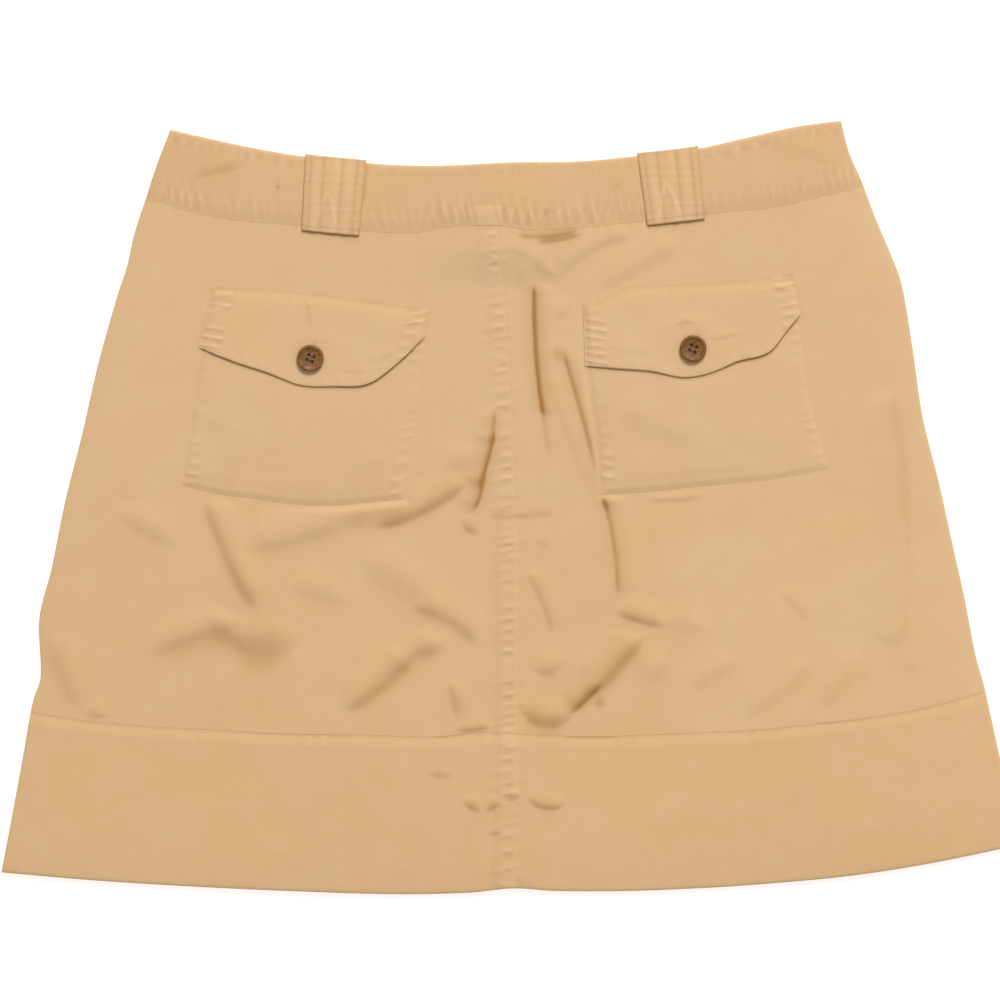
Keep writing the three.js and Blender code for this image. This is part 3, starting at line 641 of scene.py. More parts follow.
CRISP_WIDTH = 4.0  # a crease whose dark side is this narrow has a crisp foot
SOFT_WIDTH = 9.0
CREST_SPREAD = 1.6
CREST_SHARE = 0.62  # of each row's height, that is made
SHADE_SHARE = 0.9
SOFT_SPARE = 0.35  # less shade on a broad, soft crease
FOOT_PLACE = 0.3  # the darkest line's place below the middle, in dark widths
FOOT_CRISP = 0.2  # how far the shade reaches below that line, crisp and soft, and above it
FOOT_SOFT = 0.7
FOOT_ABOVE = 0.85
FOOT_LEAST = 0.3
HALF_SHADE = 0.35  # the half-shade's strength, its place, and its width beyond the dark side
HALF_PLACE = 0.6
HALF_WIDTH = 4.0
HALF_SPREAD = 1.3
FADE_START = 6.0  # a crease fades out over this and so many dark widths
FADE_WIDTHS = 1.2
CREASES = [  # x0, y0, x1, y1, bow, height, dark side's width, width behind the crest, painted shade
    (-94, -28, -36, -70, 3, 1.3, 14, 13, 0.16),
    (-172, -20, -146, -66, -1, 0.8, 9, 9, 0.10),
    (-182, -60, -154, -86, 0, 1.1, 11, 9, 0.28),
    (-74, -100, -32, -80, 3, 1.0, 8, 9, 0.20),
    (-96, -10, -52, 8, -2, 1.1, 9, 10, 0.20),
    (24, 66, 28, 30, 0, 0.6, 3, 7, 0.25),
    (21, 136, 25, 52, -2, 1.2, 1.8, 9, 1.10),
    (29, 150, 22, 137, 0, 1.0, 8, 7, 0.32),
    (19, 146, 8, 128, 0, 0.4, 6, 6, 0.12),
    (1, 157, 24, 149, 0, 0.6, 5, 8, 0.08),
    (8, 164, 51, 167, -3, 0.8, 2.6, 5, 0.40),
    (20, 159, 53, 164, -1, 0.9, 2.6, 5, 0.50),
    (33, 136, 84, 162, 6, 1.4, 6, 10, 0.12),
    (58, 127, 112, 155, 2, 1.4, 8, 12, 0.10),
    (29, 110, 47, 125, -1, 0.7, 5, 7, 0.10),
    (37, 95, 62, -6, 1, 1.1, 2.4, 12, 0.60),
    (58, 12, 67, -56, 3, 1.0, 2.4, 11, 0.50),
    (33, 100, 37, 84, 0, 0.5, 6, 6, 0.35),
    (28, 82, 52, 8, -1, 0.6, 5, 7, 0.08),
    (-20, -4, -12, 24, -2, 1.8, 2.2, 9, 0.80),
    (-15, 10, -4, 48, 0, 1.8, 2.2, 9, 0.90),
    (-7, 36, -4, 62, 0, 1.5, 2.0, 9, 0.60),
    (-42, 20, -12, 34, -1, 1.2, 10, 9, 0.15),
    (-80, -10, -20, 18, -4, 2.2, 6, 10, 0.45),
    (-158, -22, -72, 5, -5, 1.9, 10, 13, 0.22),
    (-27, -4, -12, -15, -3, 1.0, 4, 5, 0.35),
    (-12, -5, 33, -4, 0, 0.4, 3, 6, 0.20),
    (15, -20, 30, -24, 0, 0.5, 4, 5, 0.12),
    (11, -36, 28, -79, 3, 0.8, 3.5, 8, 0.22),
    (63, -62, 98, -73, -1, 1.5, 4.5, 9, 0.40),
    (88, -71, 125, -77, 0, 1.1, 11, 10, 0.12),
    (34, -126, 58, -104, 0, 2.0, 4.5, 8, 0.85),
    (48, -115, 83, -77, 0, 2.2, 6.5, 11, 0.55),
    (50, -118, 60, -117, 0, 0.6, 5, 5, 0.35),
    (4, -117, 42, -124, -8, 1.7, 7, 9, 0.60),
    (80, -113, 103, -88, 1, 1.2, 8, 9, 0.18),
    (107, -113, 142, -94, 1, 1.1, 8, 9, 0.12),
    (142, -128, 186, -94, -3, 1.1, 8, 10, 0.10),
    (186, -125, 213, -88, -4, 1.3, 8, 10, 0.17),
    (236, -90, 233, 68, -6, 1.3, 5, 13, 0.20),
    (247, -112, 244, -62, 0, 0.9, 9, 9, 0.08),
    (201, -40, 200, 0, 0, 0.8, 10, 10, 0.06),
    (161, -53, 181, -73, 3, 0.7, 4.5, 8, 0.10),
    (82, 4, 122, 6, -2, 0.7, 3.5, 4, 0.12),
    (-235, 3, -194, -21, 0, 1.2, 8, 10, 0.12),
    (-179, 11, -150, -58, -2, 1.7, 6, 10, 0.30),
    (-134, -43, -90, -56, -1, 1.1, 9, 9, 0.15),
    (-216, -85, -158, -66, 2, 1.6, 9, 10, 0.38),
    (-174, -70, -120, -76, -7, 1.8, 15, 11, 0.60),
    (-100, -121, -54, -85, -2, 2.0, 7, 10, 0.42),
    (-62, -87, -34, -83, 1, 1.0, 7, 8, 0.22),
    (-60, -58, -14, -85, 6, 1.6, 7, 11, 0.26),
    (-37, -101, -31, -128, 2, 0.9, 4, 7, 0.30),
    (10, -94, 37, -90, -6, 1.2, 6, 8, 0.25),
    (-30, -174, -16, -183, 0, 1.1, 3.5, 6, 0.45),
    (-17, -183, -3, -176, 1, 1.1, 3.0, 5, 0.45),
    (-3, -176, 8, -171, 0, 0.9, 3.0, 5, 0.30),
    (8, -172, 36, -177, -5, 1.1, 3.2, 6, 0.42),
    (-52, -158, -31, -160, 0, 0.5, 3, 4, 0.25),
    (-17, -195, -2, -194, 0, 0.5, 2.5, 3, 0.25),
    (-14, -215, -8, -216, 0, 0.3, 2, 3, 0.20),
    (8, -218, 2, -226, 0, 0.3, 2, 3, 0.20),
    (-34, -132, -8, -130, -1, 0.8, 2.4, 4, 0.40),
    (-279, -66, -256, -119, 0, 1.8, 8, 11, 0.18),
    (-258, -117, -236, -120, 0, 0.8, 4, 6, 0.20),
    (-186, 201, -149, 210, 1, 0.7, 5, 6, 0.20),
    (-134, 195, -129, 195, 0, 0.3, 1.5, 2, 0.50),
    (155, 218, 212, 202, 0, 0.5, 7, 8, 0.06),
    (25, 174, 32, 181, -1, 0.3, 2, 3, 0.25),
    (69, 187, 73, 196, 0, 0.3, 2, 3, 0.20),
]
POCKETS = {
    "left": {
        "button": (-114.0, 92.0),
        "flap_top": [(-171, 136), (-140, 134), (-112, 131), (-80, 126), (-42, 120)],
        "flap_low": [
            (-181, 100),
            (-160, 91),
            (-140, 84),
            (-120, 76),
            (-100, 75),
            (-80, 76),
            (-62, 88),
            (-46, 103),
        ],
        "flap_sides": [(136, -171, -41), (119, -176, -42), (100, -181, -47)],
        "low": [(-193, 18), (-170, 12), (-150, 9), (-125, 5), (-105, 4), (-85, 5), (-60, 7)],
        "sides": [(130, -172, -43), (98, -179, -46), (50, -187, -52), (26, -191, -57), (6, -195, -60)],
    },
    "right": {
        "button": (115.0, 93.0),
        "flap_top": [(48, 121), (62, 125), (78, 131), (116, 132), (155, 134), (178, 137)],
        "flap_low": [
            (50, 84),
            (70, 82),
            (90, 80),
            (108, 76),
            (120, 77),
            (130, 80),
            (142, 85),
            (156, 88),
            (163, 92),
            (171, 102),
            (179, 111),
        ],
        "flap_sides": [(137, 48, 176), (108, 50, 181), (84, 50, 185)],
        "low": [(58, 7), (85, 8), (110, 10), (135, 12), (160, 14), (180, 17), (196, 20)],
        "sides": [(128, 50, 177), (82, 52, 182), (61, 54, 185), (40, 57, 190), (7, 58, 198)],
    },
}
for pocket in POCKETS.values():
    for column, edge in ((1, "left"), (2, "right")):
        pocket[edge] = curve(pocket["sides"], column)
        pocket["flap_" + edge] = curve(pocket["flap_sides"], column)
    for edge in ("low", "flap_top", "flap_low"):
        pocket[edge] = curve(pocket[edge])


def from_side(x, y):
    """Distance to the nearer side edge of the back."""
    return np.minimum(x - side_left(y), side_right(y) - x)


def calm(x, y):
    """1 where a pocket or flap holds the back free of folds, fading to 0 around it."""
    most = np.zeros_like(x)
    for pocket in POCKETS.values():
        aside = np.minimum(x - pocket["left"](y), pocket["right"](y) - x)
        inside = np.minimum(aside, np.minimum(y - pocket["low"](x), pocket["flap_top"](x) - y))
        most = np.maximum(most, smooth(1.0 + (inside + CALM_MARGIN) / CALM_FADE))
    return most


def softness(dark):
    """How soft a crease's foot is: 0 where its dark side is narrow and 1 where it is broad."""
    return min(max((dark - CRISP_WIDTH) / (SOFT_WIDTH - CRISP_WIDTH), 0.0), 1.0)


def crease_sum(rows, x, y):
    """The height that a table's creases add up to. Across each, the cloth rises from its foot and
    eases into the crest, on the left of its direction, then falls off smoothly behind it."""
    height = np.zeros_like(x)
    for row in rows:
        crest, dark, behind = row[5:8]
        across, strength = crease_place(x, y, row, FADE_START + FADE_WIDTHS * dark)
        rise = np.clip(across / dark + 0.5, 0.0, 1.0)
        soft = softness(dark)
        rise = soft * smooth(rise) + (1.0 - soft) * rise * (2.0 - rise)
        fall = 1.0 - smooth((across - dark / 2) / (CREST_SPREAD * behind))
        height += CREST_SHARE * crest * strength * rise * fall
    return height


def crease_painted_shade(rows, x, y):
    """Painted shade of creases: a deeper colour along their dark sides, by the shade of each: most at
        the foot, ending close below it and fading slowly up towards the crest, in a wide half-shade."""
    tone = np.zeros_like(x)
    for row in rows:
        dark, shade = row[6], row[8]
        across, strength = crease_place(x, y, row, FADE_START + FADE_WIDTHS * dark)
        from_foot = across + FOOT_PLACE * dark
        below = FOOT_CRISP + (FOOT_SOFT - FOOT_CRISP) * softness(dark)
        width = np.where(from_foot < 0.0, below, FOOT_ABOVE) * dark + FOOT_LEAST
        half_shade = HALF_SHADE * bell(across - HALF_PLACE * dark, HALF_WIDTH + HALF_SPREAD * dark)
        share = SHADE_SHARE * (1.0 - SOFT_SPARE * softness(dark))
        tone -= share * shade * strength * (bell(from_foot, width) + half_shade)
    return tone


def crease_shade(x, y):
    """The painted shade of the back's creases, none where a pocket holds it free of them."""
    return crease_painted_shade(CREASES, x, y) * (1.0 - calm(x, y))


def ruffled(x, y):
    """Slight unevenness of washed cloth: two patterns of waves that cross, a lower and a higher one."""
    first = np.sin(x / 6.1 + y / 11.0) * np.sin(y / 8.3 - x / 23.0)
    second = np.sin(x / 13.7 - y / 9.1 + 1.3) * np.sin(y / 15.1 + x / 31.0 + 0.4)
    return 0.035 * first + 0.10 * second


def held(x, y):
    """Points pulled to a nearby button's centre, so that what is worked out there lies level."""
    at_x, at_y = x, y
    for pocket in POCKETS.values():
        button_x, button_y = pocket["button"]
        distance = np.hypot(at_x - button_x, at_y - button_y)
        hold = 1.0 - smooth((distance - BUTTON_FLAT) / (BUTTON_BLEND - BUTTON_FLAT))
        x = x + (button_x - at_x) * hold
        y = y + (button_y - at_y) * hold
    return x, y


def back_under(x, y):
    """Height of the back's underside: low at the edges, on its loft, wave and folds between them,
    and lifted over the front waistband's lap."""
    x, y = held(x, y)
    inset = np.maximum(from_side(x, y), 0.0)
    ends = np.maximum(np.minimum(y - hem_edge(x), top_edge(x) - y), 0.0)
    swell = (1.0 - np.exp(-inset / SIDE_FALL)) * (1.0 - END_SPARE * np.exp(-ends / END_FALL))
    wave = WAVE * np.sin(x / WAVE_X + WAVE_START_X) * np.sin(y / WAVE_Y + WAVE_START_Y) + ruffled(x, y)
    upper = smooth((y - waist_seam(x) + LAP_BELOW) / LAP_RISE)
    lap = LAP_SWELL * upper * bell(x, LAP_REACH)
    folded = crease_sum(CREASES, x, y) * (1.0 - calm(x, y))
    return REST + swell * np.maximum(LOFT + wave + folded, LEAST_SWELL) + lap


def fell(x, y):
    """Height of the felled strip left of the centre seam, soft at its edges and lower above."""
    to_centre = centre_seam(y) - x
    lower = 0.4 + 0.6 * smooth((10.0 - y) / 60.0)
    left = smooth((FELL_WIDTH + FELL_STEP - to_centre) / (2.0 * FELL_STEP))
    return FELL_HEIGHT * lower * left * smooth(to_centre / FELL_STEP + 0.1)


def panel_over(x, y):
    """The underside plus the cloth's thickness and the felled strip."""
    return back_under(x, y) + PANEL_CLOTH * rounded(from_side(x, y), EDGE_RADIUS) + fell(x, y)


def uneven(along, pitch, seed):
    """Puckers of an uneven pitch and height: a wave whose phase wanders and whose height comes and
    goes, with its crests drawn narrow."""
    wander = 0.5 * np.sin(along / (2.9 * pitch) + seed)
    wander = wander + 0.3 * np.sin(along / (1.3 * pitch) + 2.3 * seed)
    height = 0.6 + 0.55 * np.sin(along / (1.9 * pitch) + 3.1 * seed) * np.sin(along / (0.7 * pitch))
    return height * (2.0 * np.exp(1.6 * (np.cos(2.0 * np.pi * (along / pitch + wander)) - 1.0)) - 0.75)


def gathered(along, aside, pitch, seed):
    """Two sets of puckers that slant against each other, the wider one lower."""
    first = uneven(along + 0.18 * aside, pitch, seed)
    return 0.75 * first + 0.4 * uneven(along - 0.28 * aside, 1.37 * pitch, seed + 1.9)


def groove(distance, depth=0.2):
    """A row of stitches presses the cloth down along its line."""
    return -depth * bell(distance, 0.8)


def strip(distance, low, high, fade=1.5):
    """1 between two distances from a line, fading to 0 outside them."""
    return smooth((distance - low) / fade + 1.0) * smooth((high - distance) / fade + 1.0)


def centre_relief(x, y):
    """Puckers that the centre seam's two rows pull up in its strip, and faint ones beside it."""
    to_centre = centre_seam(y) - x
    ladder = gathered(y, to_centre, CENTRE_PITCH, 1.0)
    beside = ladder * np.where(to_centre < 0.0, bell(to_centre, 5.0), bell(to_centre - 11.0, 6.0))
    ladder = ladder * strip(to_centre, 3.2, 8.2, 3.0)
    outside = np.where((to_centre < 0.0) | (to_centre > FELL_WIDTH), 1.0, 0.0)
    rows = sum(groove(to_centre - row, 0.06) for row in FELL_ROWS)
    crossing = 0.2 * bell(to_centre - 5.0, 5.0) * bell(y - band_seam(x), 4.0)
    return 0.34 * ladder + 0.13 * beside * outside + rows + crossing


def centre_shade(x, y):
    """Painted shade: short deeper strokes across the centre seam's strip, below its puckers."""
    to_centre = centre_seam(y) - x
    strokes = smooth(uneven(y + 1.7, CENTRE_PITCH, 1.0) - 0.1)
    return -0.30 * strokes * strip(to_centre, 3.4, 7.2, 1.2)


def panel_relief(x, y):
    """The centre seam's puckers, and those along the seams to the waistband and the hem band."""
    above = y - band_seam(x)
    below = waist_seam(x) - y
    lower = 0.16 * gathered(x, above, 8.5, 2.0) * np.exp(-above / 3.5) * smooth(above / 1.5)
    upper = 0.20 * gathered(x, below, 8.0, 0.4) * np.exp(-below / 5.0) * smooth(below / 1.5)
    return centre_relief(x, y) + lower + upper


def panel_shade(x, y):
    """The creases' painted shade, the centre strip's painted strokes, painted shadow lines along the waist
    seam and the band seam and under the belt loops' lower ends, a paler, rubbed patch where the centre
    seam crosses the band's, and a paler lower right."""
    below = waist_seam(x) - y
    # painted shadow lines below the waistband and at the band seam
    seam_shadow_line = 0.08 * bell(below - 0.5, 1.4) + 0.05 * bell(y - band_seam(x) - 0.4, 1.2)
    loops = sum(strip(x, left, right, 1.0) for left, right in UNDER_LOOPS)
    # painted shadow under the belt loops' lower ends
    loop_end_shadow = loops * (0.6 * bell(below - 3.6, 1.2) + 0.08 * bell(below - 6.0, 3.0))
    paler = PALE_RIGHT * smooth((x - PALE_FROM) / PALE_WIDTH) * smooth(-y / PALE_DROP)
    return crease_shade(x, y) + centre_shade(x, y) - seam_shadow_line - loop_end_shadow + rubbed(x, y) + paler


def rubbed(x, y):
    """Paler where the centre seam's strip crosses the band seam, and all along the strip a little."""
    to_centre = centre_seam(y) - x
    crossing = 0.18 * bell(to_centre - 4.0, 5.0) * bell(y - band_seam(x) + 3.0, 6.0)
    return crossing + 0.03 * strip(to_centre, 3.0, 8.0, 3.0)


panel_columns = {
    "left": stations(243, PANEL_STEP, EDGE_STATIONS, tuple(0.9 * i for i in range(15))),
    "right": stations(253, PANEL_STEP, (0.0, 0.8, 1.6, 2.6), EDGE_STATIONS),
}
panel_rows = stations(303, PANEL_STEP)
back_halves = {
    "left": (side_left, moved(centre_seam, -CLOSE / 2)),
    "right": (moved(centre_seam, CLOSE / 2), side_right),
}
for side, (left, right) in back_halves.items():
    panel = wall(
        "back_panel_cloth_" + side,
        left,
        right,
        moved(band_seam, CLOSE),
        moved(waist_seam, -CLOSE),
        panel_columns[side],
        panel_rows,
        back_under,
        panel_over,
        panel_relief,
        panel_shade,
    )
    sewn_in(panel, twill)
    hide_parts("back_panel_" + side)

# Sewing of the centre seam: two rows of plain stitches in cotton thread of the skirt's colour,
# which hold the felled strip down from the waistband to the hem.
STITCH_PITCH = 3.1
STITCH_LENGTH = 2.5
STITCH_RADIUS = 0.16
STITCH_STATIONS = np.array([-1.0, -0.6, 0.0, 0.6, 1.0])
STITCH_ROUND = np.array([0.12, 0.85, 1.0, 0.85, 0.12])
STITCH_LIFT = np.array([-0.18, -0.08, -0.05, -0.08, -0.18])
STITCH_SIDES = 6
THREAD_TONE = (0.690, 0.450, 0.240, 1.0)
THREAD_DEEP = (0.620, 0.395, 0.200, 1.0)


def stitch_points(x, y, surface, pitch=STITCH_PITCH, length=STITCH_LENGTH, radius=STITCH_RADIUS):
    """Stitches along a line: each is a round thread through five stations, thin where it enters the
    cloth and a little proud of it between, as rings of six points about its own way."""
    steps = np.hypot(np.diff(x), np.diff(y))
    travelled = np.concatenate([[0.0], np.cumsum(steps)])
    middles = np.arange(pitch / 2, travelled[-1] - length / 2, pitch)
    at = middles[:, None] + STITCH_STATIONS * length / 2
    px = np.interp(at, travelled, x)
    py = np.interp(at, travelled, y)
    way = np.stack([px[:, -1] - px[:, 0], py[:, -1] - py[:, 0]], axis=1)
    way /= np.linalg.norm(way, axis=1, keepdims=True)
    pz = surface(px, py) + STITCH_LIFT * radius / STITCH_RADIUS
    turn = np.linspace(0.0, 2.0 * np.pi, STITCH_SIDES, endpoint=False)
    wide = radius * STITCH_ROUND[:, None] * np.cos(turn)
    tall = radius * STITCH_ROUND[:, None] * np.sin(turn)
    aside_x = -way[:, 1, None, None] * wide
    aside_y = way[:, 0, None, None] * wide
    rings = [px[..., None] + aside_x, py[..., None] + aside_y, pz[..., None] + tall]
    return np.stack(np.broadcast_arrays(*rings), axis=-1)


def sewing(name, rows, material):
    """One mesh of the stitches of several rows: four tubes of faces between the rings of each
    stitch, and a cap at each end."""
    rings = np.concatenate(rows)
    points = len(STITCH_STATIONS) * STITCH_SIDES
    one = np.arange(points).reshape(-1, STITCH_SIDES)
    after = np.roll(one, -1, axis=1)
    tube = np.stack([one[:-1], one[1:], after[1:], after[:-1]], axis=-1).reshape(-1, 4)
    caps = np.stack([one[0], one[-1, ::-1]])
    start = np.arange(len(rings))[:, None, None] * points
    faces = (start + tube).reshape(-1, 4).tolist() + (start + caps).reshape(-1, STITCH_SIDES).tolist()
    mesh = bpy.data.meshes.new(name)
    mesh.from_pydata(rings.reshape(-1, 3) * MM, [], faces)
    mesh.shade_smooth()
    sewn_in(placed(name, mesh), material)


def cotton_thread(name, tone=THREAD_TONE, deep=THREAD_DEEP):
    """Sewing thread: plies as fine slanting bands in tone and bump, and a soft sheen."""
    material, tree, place = new_shader(name)
    twist = tree.node("TexWave", None, {"Vector": place, "Scale": 700.0, "Distortion": 2.0})
    bump = tree.node("Bump", None, {"Strength": 0.3, "Distance": 0.0001, "Height": twist})
    inputs = {
        "Base Color": (0.25 * twist).mix(tone, deep),
        "Roughness": 0.6 + 0.15 * twist,
        "Normal": bump,
        "Sheen Weight": 0.2,
    }
    finish_shader(tree, inputs)
    return material


thread = cotton_thread("cotton thread")


def upward(low, high):
    """Places about a millimetre apart from one value to another."""
    return np.linspace(low, high, max(int(abs(high - low)), 8))


panel_top = both(panel_over, panel_relief)
centre_y = upward(float(band_seam(5.0)) + 1.0, float(waist_seam(0.0)) - 1.5)
centre_rows = [stitch_points(centre_seam(centre_y) - row, centre_y, panel_top) for row in FELL_ROWS]
sewing("centre_seam_thread", centre_rows, thread)

# Hem band of the back: a deep strip of twill on each half, turned double at the hem. Its pressed
# upper edge lies on the panels, held by two rows of stitches, and the centre strip runs on in it.
BAND_CLOTH = 1.8
TURN_RADIUS = 2.0
BAND_ROWS = (1.6, 8.4)
SEAM_SHARE = 0.7  # a band's pressed edge is this share of its thickness, and rises over a length
SEAM_RISE = 8.0
# the strength of the painted shade line along the hem band's seam
SEAM_SHADE_LINE = 0.14
SEAM_SHADE_PLACES = [  # from x, to x, shade: where the seam's line of painted shade is deeper
    (-150, -100, 0.20),
    (-42, -30, 0.30),
    (38, 60, 0.40),
    (190, 215, 0.20),
]
TURN_STATIONS = (0.0, 0.3, 0.7, 1.2, 2.0)


def hem_band_over(x, y):
    """The underside plus the band, rounded at the side and the hem and thin at its pressed edge."""
    edge = rounded(from_side(x, y), EDGE_RADIUS) * rounded(y - hem_edge(x), TURN_RADIUS)
    edge = edge * (SEAM_SHARE + (1.0 - SEAM_SHARE) * smooth((band_seam(x) - y) / SEAM_RISE))
    return back_under(x, y) + BAND_CLOTH * edge + fell(x, y)


def hem_band_relief(x, y):
    """The centre strip's puckers, the two rows below the seam with faint puckers between them, and
    the ridge that the turned allowance makes under the band, as deep as the rows reach."""
    below = band_seam(x) - y
    rows = sum(groove(below - row, 0.05) for row in BAND_ROWS)
    ladder = 0.12 * gathered(x, below, 8.0, 1.7) * strip(below, 1.8, 8.0, 1.5)
    allowance = 0.06 * strip(below, 2.5, 8.0, 2.5)
    above_hem = y - hem_edge(x)
    hem = 0.10 * uneven(x, 16.0, 0.8) * bell(above_hem - 6.0, 7.0)
    return centre_relief(x, y) + rows + ladder + allowance + hem


def hem_band_shade(x, y):
    """The creases' painted shade, the centre strip's painted strokes and the rubbed crossing, and a thin
    line of painted shade at the seam, deeper in places.
    """
    line = SEAM_SHADE_LINE + sum(deeper * strip(x, low, high, 6.0) for low, high, deeper in SEAM_SHADE_PLACES)
    # painted shade line along the seam
    seam = line * bell(band_seam(x) - y - 0.2, 0.9)
    return crease_shade(x, y) + centre_shade(x, y) + rubbed(x, y) - seam


band_rows = stations(90, PANEL_STEP, TURN_STATIONS, (0.0, 0.8, 1.6, 2.4))
for side, (left, right) in back_halves.items():
    band = wall(
        "back_hem_band_cloth_" + side,
        left,
        right,
        hem_edge,
        moved(band_seam, -CLOSE),
        panel_columns[side],
        band_rows,
        back_under,
        hem_band_over,
        hem_band_relief,
        hem_band_shade,
    )
    sewn_in(band, twill)
    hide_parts("back_hem_band_" + side)

hem_band_top = both(hem_band_over, hem_band_relief)
centre_y = upward(float(hem_edge(3.0)) + 1.5, float(band_seam(5.0)) - 1.0)
hem_rows = [stitch_points(centre_seam(centre_y) - row, centre_y, hem_band_top) for row in FELL_ROWS]
for low, high in ((-289.0, -8.0), (6.5, 288.0)):
    band_x = upward(low, high)
    hem_rows += [stitch_points(band_x, band_seam(band_x) - row, hem_band_top) for row in BAND_ROWS]
sewing("hem_band_thread", hem_rows, thread)

# Waistband of the back: a shaped strip of two layers, turned at its top edge. A row of stitches
# follows the top, two more hold its lower edge, and the band is drawn into puckers between those.
WAISTBAND_ROWS = (1.4, 12.0)
TOP_ROW = 6.5
WAISTBAND_DEEPER = 0.14
TAB = (-14, 2, 11)  # left, right and height of the patch over the centre seam
LOOPS = {  # y, left edge, right edge
    "left": [(168, -118, -83), (211, -115, -78)],
    "right": [(168, 89, 124), (211, 84, 121)],
}
loop_sides = {side: (curve(table, 1), curve(table, 2)) for side, table in LOOPS.items()}


def waistband_over(x, y):
    """The underside plus the band, rounded at the side and the top and thin at its pressed edge."""
    edge = rounded(from_side(x, y), EDGE_RADIUS) * rounded(top_edge(x) - y, TURN_RADIUS)
    edge = edge * (SEAM_SHARE + (1.0 - SEAM_SHARE) * smooth((y - waist_seam(x)) / SEAM_RISE))
    return back_under(x, y) + BAND_CLOTH * edge


def under_loop(x, y):
    """1 where a belt loop covers the waistband, which lies plain there."""
    covered = np.zeros_like(x)
    for left, right in loop_sides.values():
        covered = np.maximum(covered, smooth((np.minimum(x - left(y), right(y) - x) + 1.5) / 2.0))
    return covered


def waistband_relief(x, y):
    """Upright puckers between the lower rows, longer faint ones above them, a row of small ones
    below the top edge that is strongest towards the sides, and the square patch at the centre."""
    above = y - waist_seam(x)
    below = top_edge(x) - y
    drawn = gathered(x, above, 5.6, 0.7) * (0.62 + 0.38 * np.sin(x / 41.0 + 1.2))
    lower = 0.44 * drawn * strip(above, 3.0, 10.0, 2.6)
    longer = 0.24 * drawn * strip(above, 10.0, 15.0, 6.0)
    outward = 0.35 + 0.65 * smooth((np.abs(x) - 70.0) / 60.0)
    upper = 0.34 * outward * gathered(x, below, 7.0, 2.2) * bell(below - TOP_ROW, 2.6)
    rows = sum(groove(above - row, 0.06) for row in WAISTBAND_ROWS) + groove(below - TOP_ROW, 0.05)
    rim = 0.14 * gathered(x, below, 9.0, 1.1) * bell(below, 4.0)
    patch = 0.25 * strip(x, TAB[0] + 2.0, TAB[1] - 2.0, 2.0) * strip(above, 0.0, TAB[2] - 1.0, 2.0)
    return (lower + longer + upper + rows + rim) * (1.0 - under_loop(x, y)) + patch


def waistband_shade(x, y):
    """The creases' painted shade, a slightly deeper tone all over, and painted shadow lines along the
    seam, below the patch, and beside the left loop's upper part."""
    above = y - waist_seam(x)
    patch = strip(x, TAB[0], TAB[1], 1.5)
    beside = bell(x - loop_sides["left"][1](y) - 0.8, 0.9) * smooth((above - 12.0) / 8.0)
    # painted shadow lines
    lines = (0.06 + 0.15 * patch) * bell(above - 0.3, 0.8) + 0.30 * beside
    return crease_shade(x, y) - WAISTBAND_DEEPER - lines


waistband_columns = stations(414, 1.15, EDGE_STATIONS, EDGE_STATIONS)
waistband_rows = stations(38, 1.0, (0.0, 0.7, 1.4, 2.1), TURN_STATIONS)
waistband = wall(
    "back_waistband_cloth",
    side_left,
    side_right,
    moved(waist_seam, CLOSE),
    top_edge,
    waistband_columns,
    waistband_rows,
    back_under,
    waistband_over,
    waistband_relief,
    waistband_shade,
)
sewn_in(waistband, twill)
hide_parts("back_waistband")

waistband_top = both(waistband_over, waistband_relief)
waist_rows = []
for low, high in ((-205.0, -120.0), (-78.0, -15.0), (4.0, 86.0), (126.0, 213.0)):
    waist_x = upward(low, high)
    waist_rows += [stitch_points(waist_x, waist_seam(waist_x) + row, waistband_top) for row in WAISTBAND_ROWS]
for low, high in ((-196.0, -119.0), (-76.0, 82.0), (124.0, 206.0)):
    waist_x = upward(low, high)
    waist_rows.append(stitch_points(waist_x, top_edge(waist_x) - TOP_ROW, waistband_top))
patch_y = upward(float(waist_seam(-6.0)) + 1.0, float(waist_seam(-6.0)) + TAB[2] - 1.2)
for edge_x in (TAB[0] + 1.5, TAB[1] - 1.5):
    waist_rows.append(stitch_points(np.full_like(patch_y, edge_x), patch_y, waistband_top))
sewing("waistband_thread", waist_rows, thread)

# Belt loops: wide strips folded into four, stitched in two pairs of rows. Each lies on the
# waistband from just below the waist seam, arches a little, and turns down over the top edge.
LOOP_CLOTH = 1.0
LOOP_BELOW = 3.0
LOOP_OVER = 1.6
LOOP_ARCH = 0.2
LOOP_TURN = 0.1
LOOP_DEEPER = 0.14
LOOP_ROWS = (0.10, 0.31, 0.62, 0.86)
LOOP_RIDGES = ((0.20, 0.30), (0.52, 0.34), (0.74, 0.32))  # share of the width, height
LOOP_END_ROW = 2.6
loop_low = moved(waist_seam, -LOOP_BELOW)
loop_high = moved(top_edge, LOOP_OVER)
loop_threads = []


def loop_lying(x, y):
    """A loop's underside: on the waistband, raised by half a sine wave between its two ends."""
    share = np.clip((y - loop_low(x)) / (top_edge(x) - loop_low(x)), 0.0, 1.0)
    return back_under(x, np.minimum(y, top_edge(x))) + BAND_CLOTH + CLOSE + LOOP_ARCH * np.sin(np.pi * share)


def loop_under(x, y):
    """The same, but down past the waistband's top edge at the turned end."""
    over_edge = y > top_edge(x) + SEAM - LOOP_TURN / 2
    return np.where(over_edge, back_under(x, top_edge(x)), loop_lying(x, y))


def loop_over(x, y):
    """The underside plus the strip, rounded at both ends."""
    edge = rounded(y - loop_low(x), 1.0) * rounded(loop_high(x) - y, 1.0)
    return loop_lying(x, y) + LOOP_CLOTH * edge


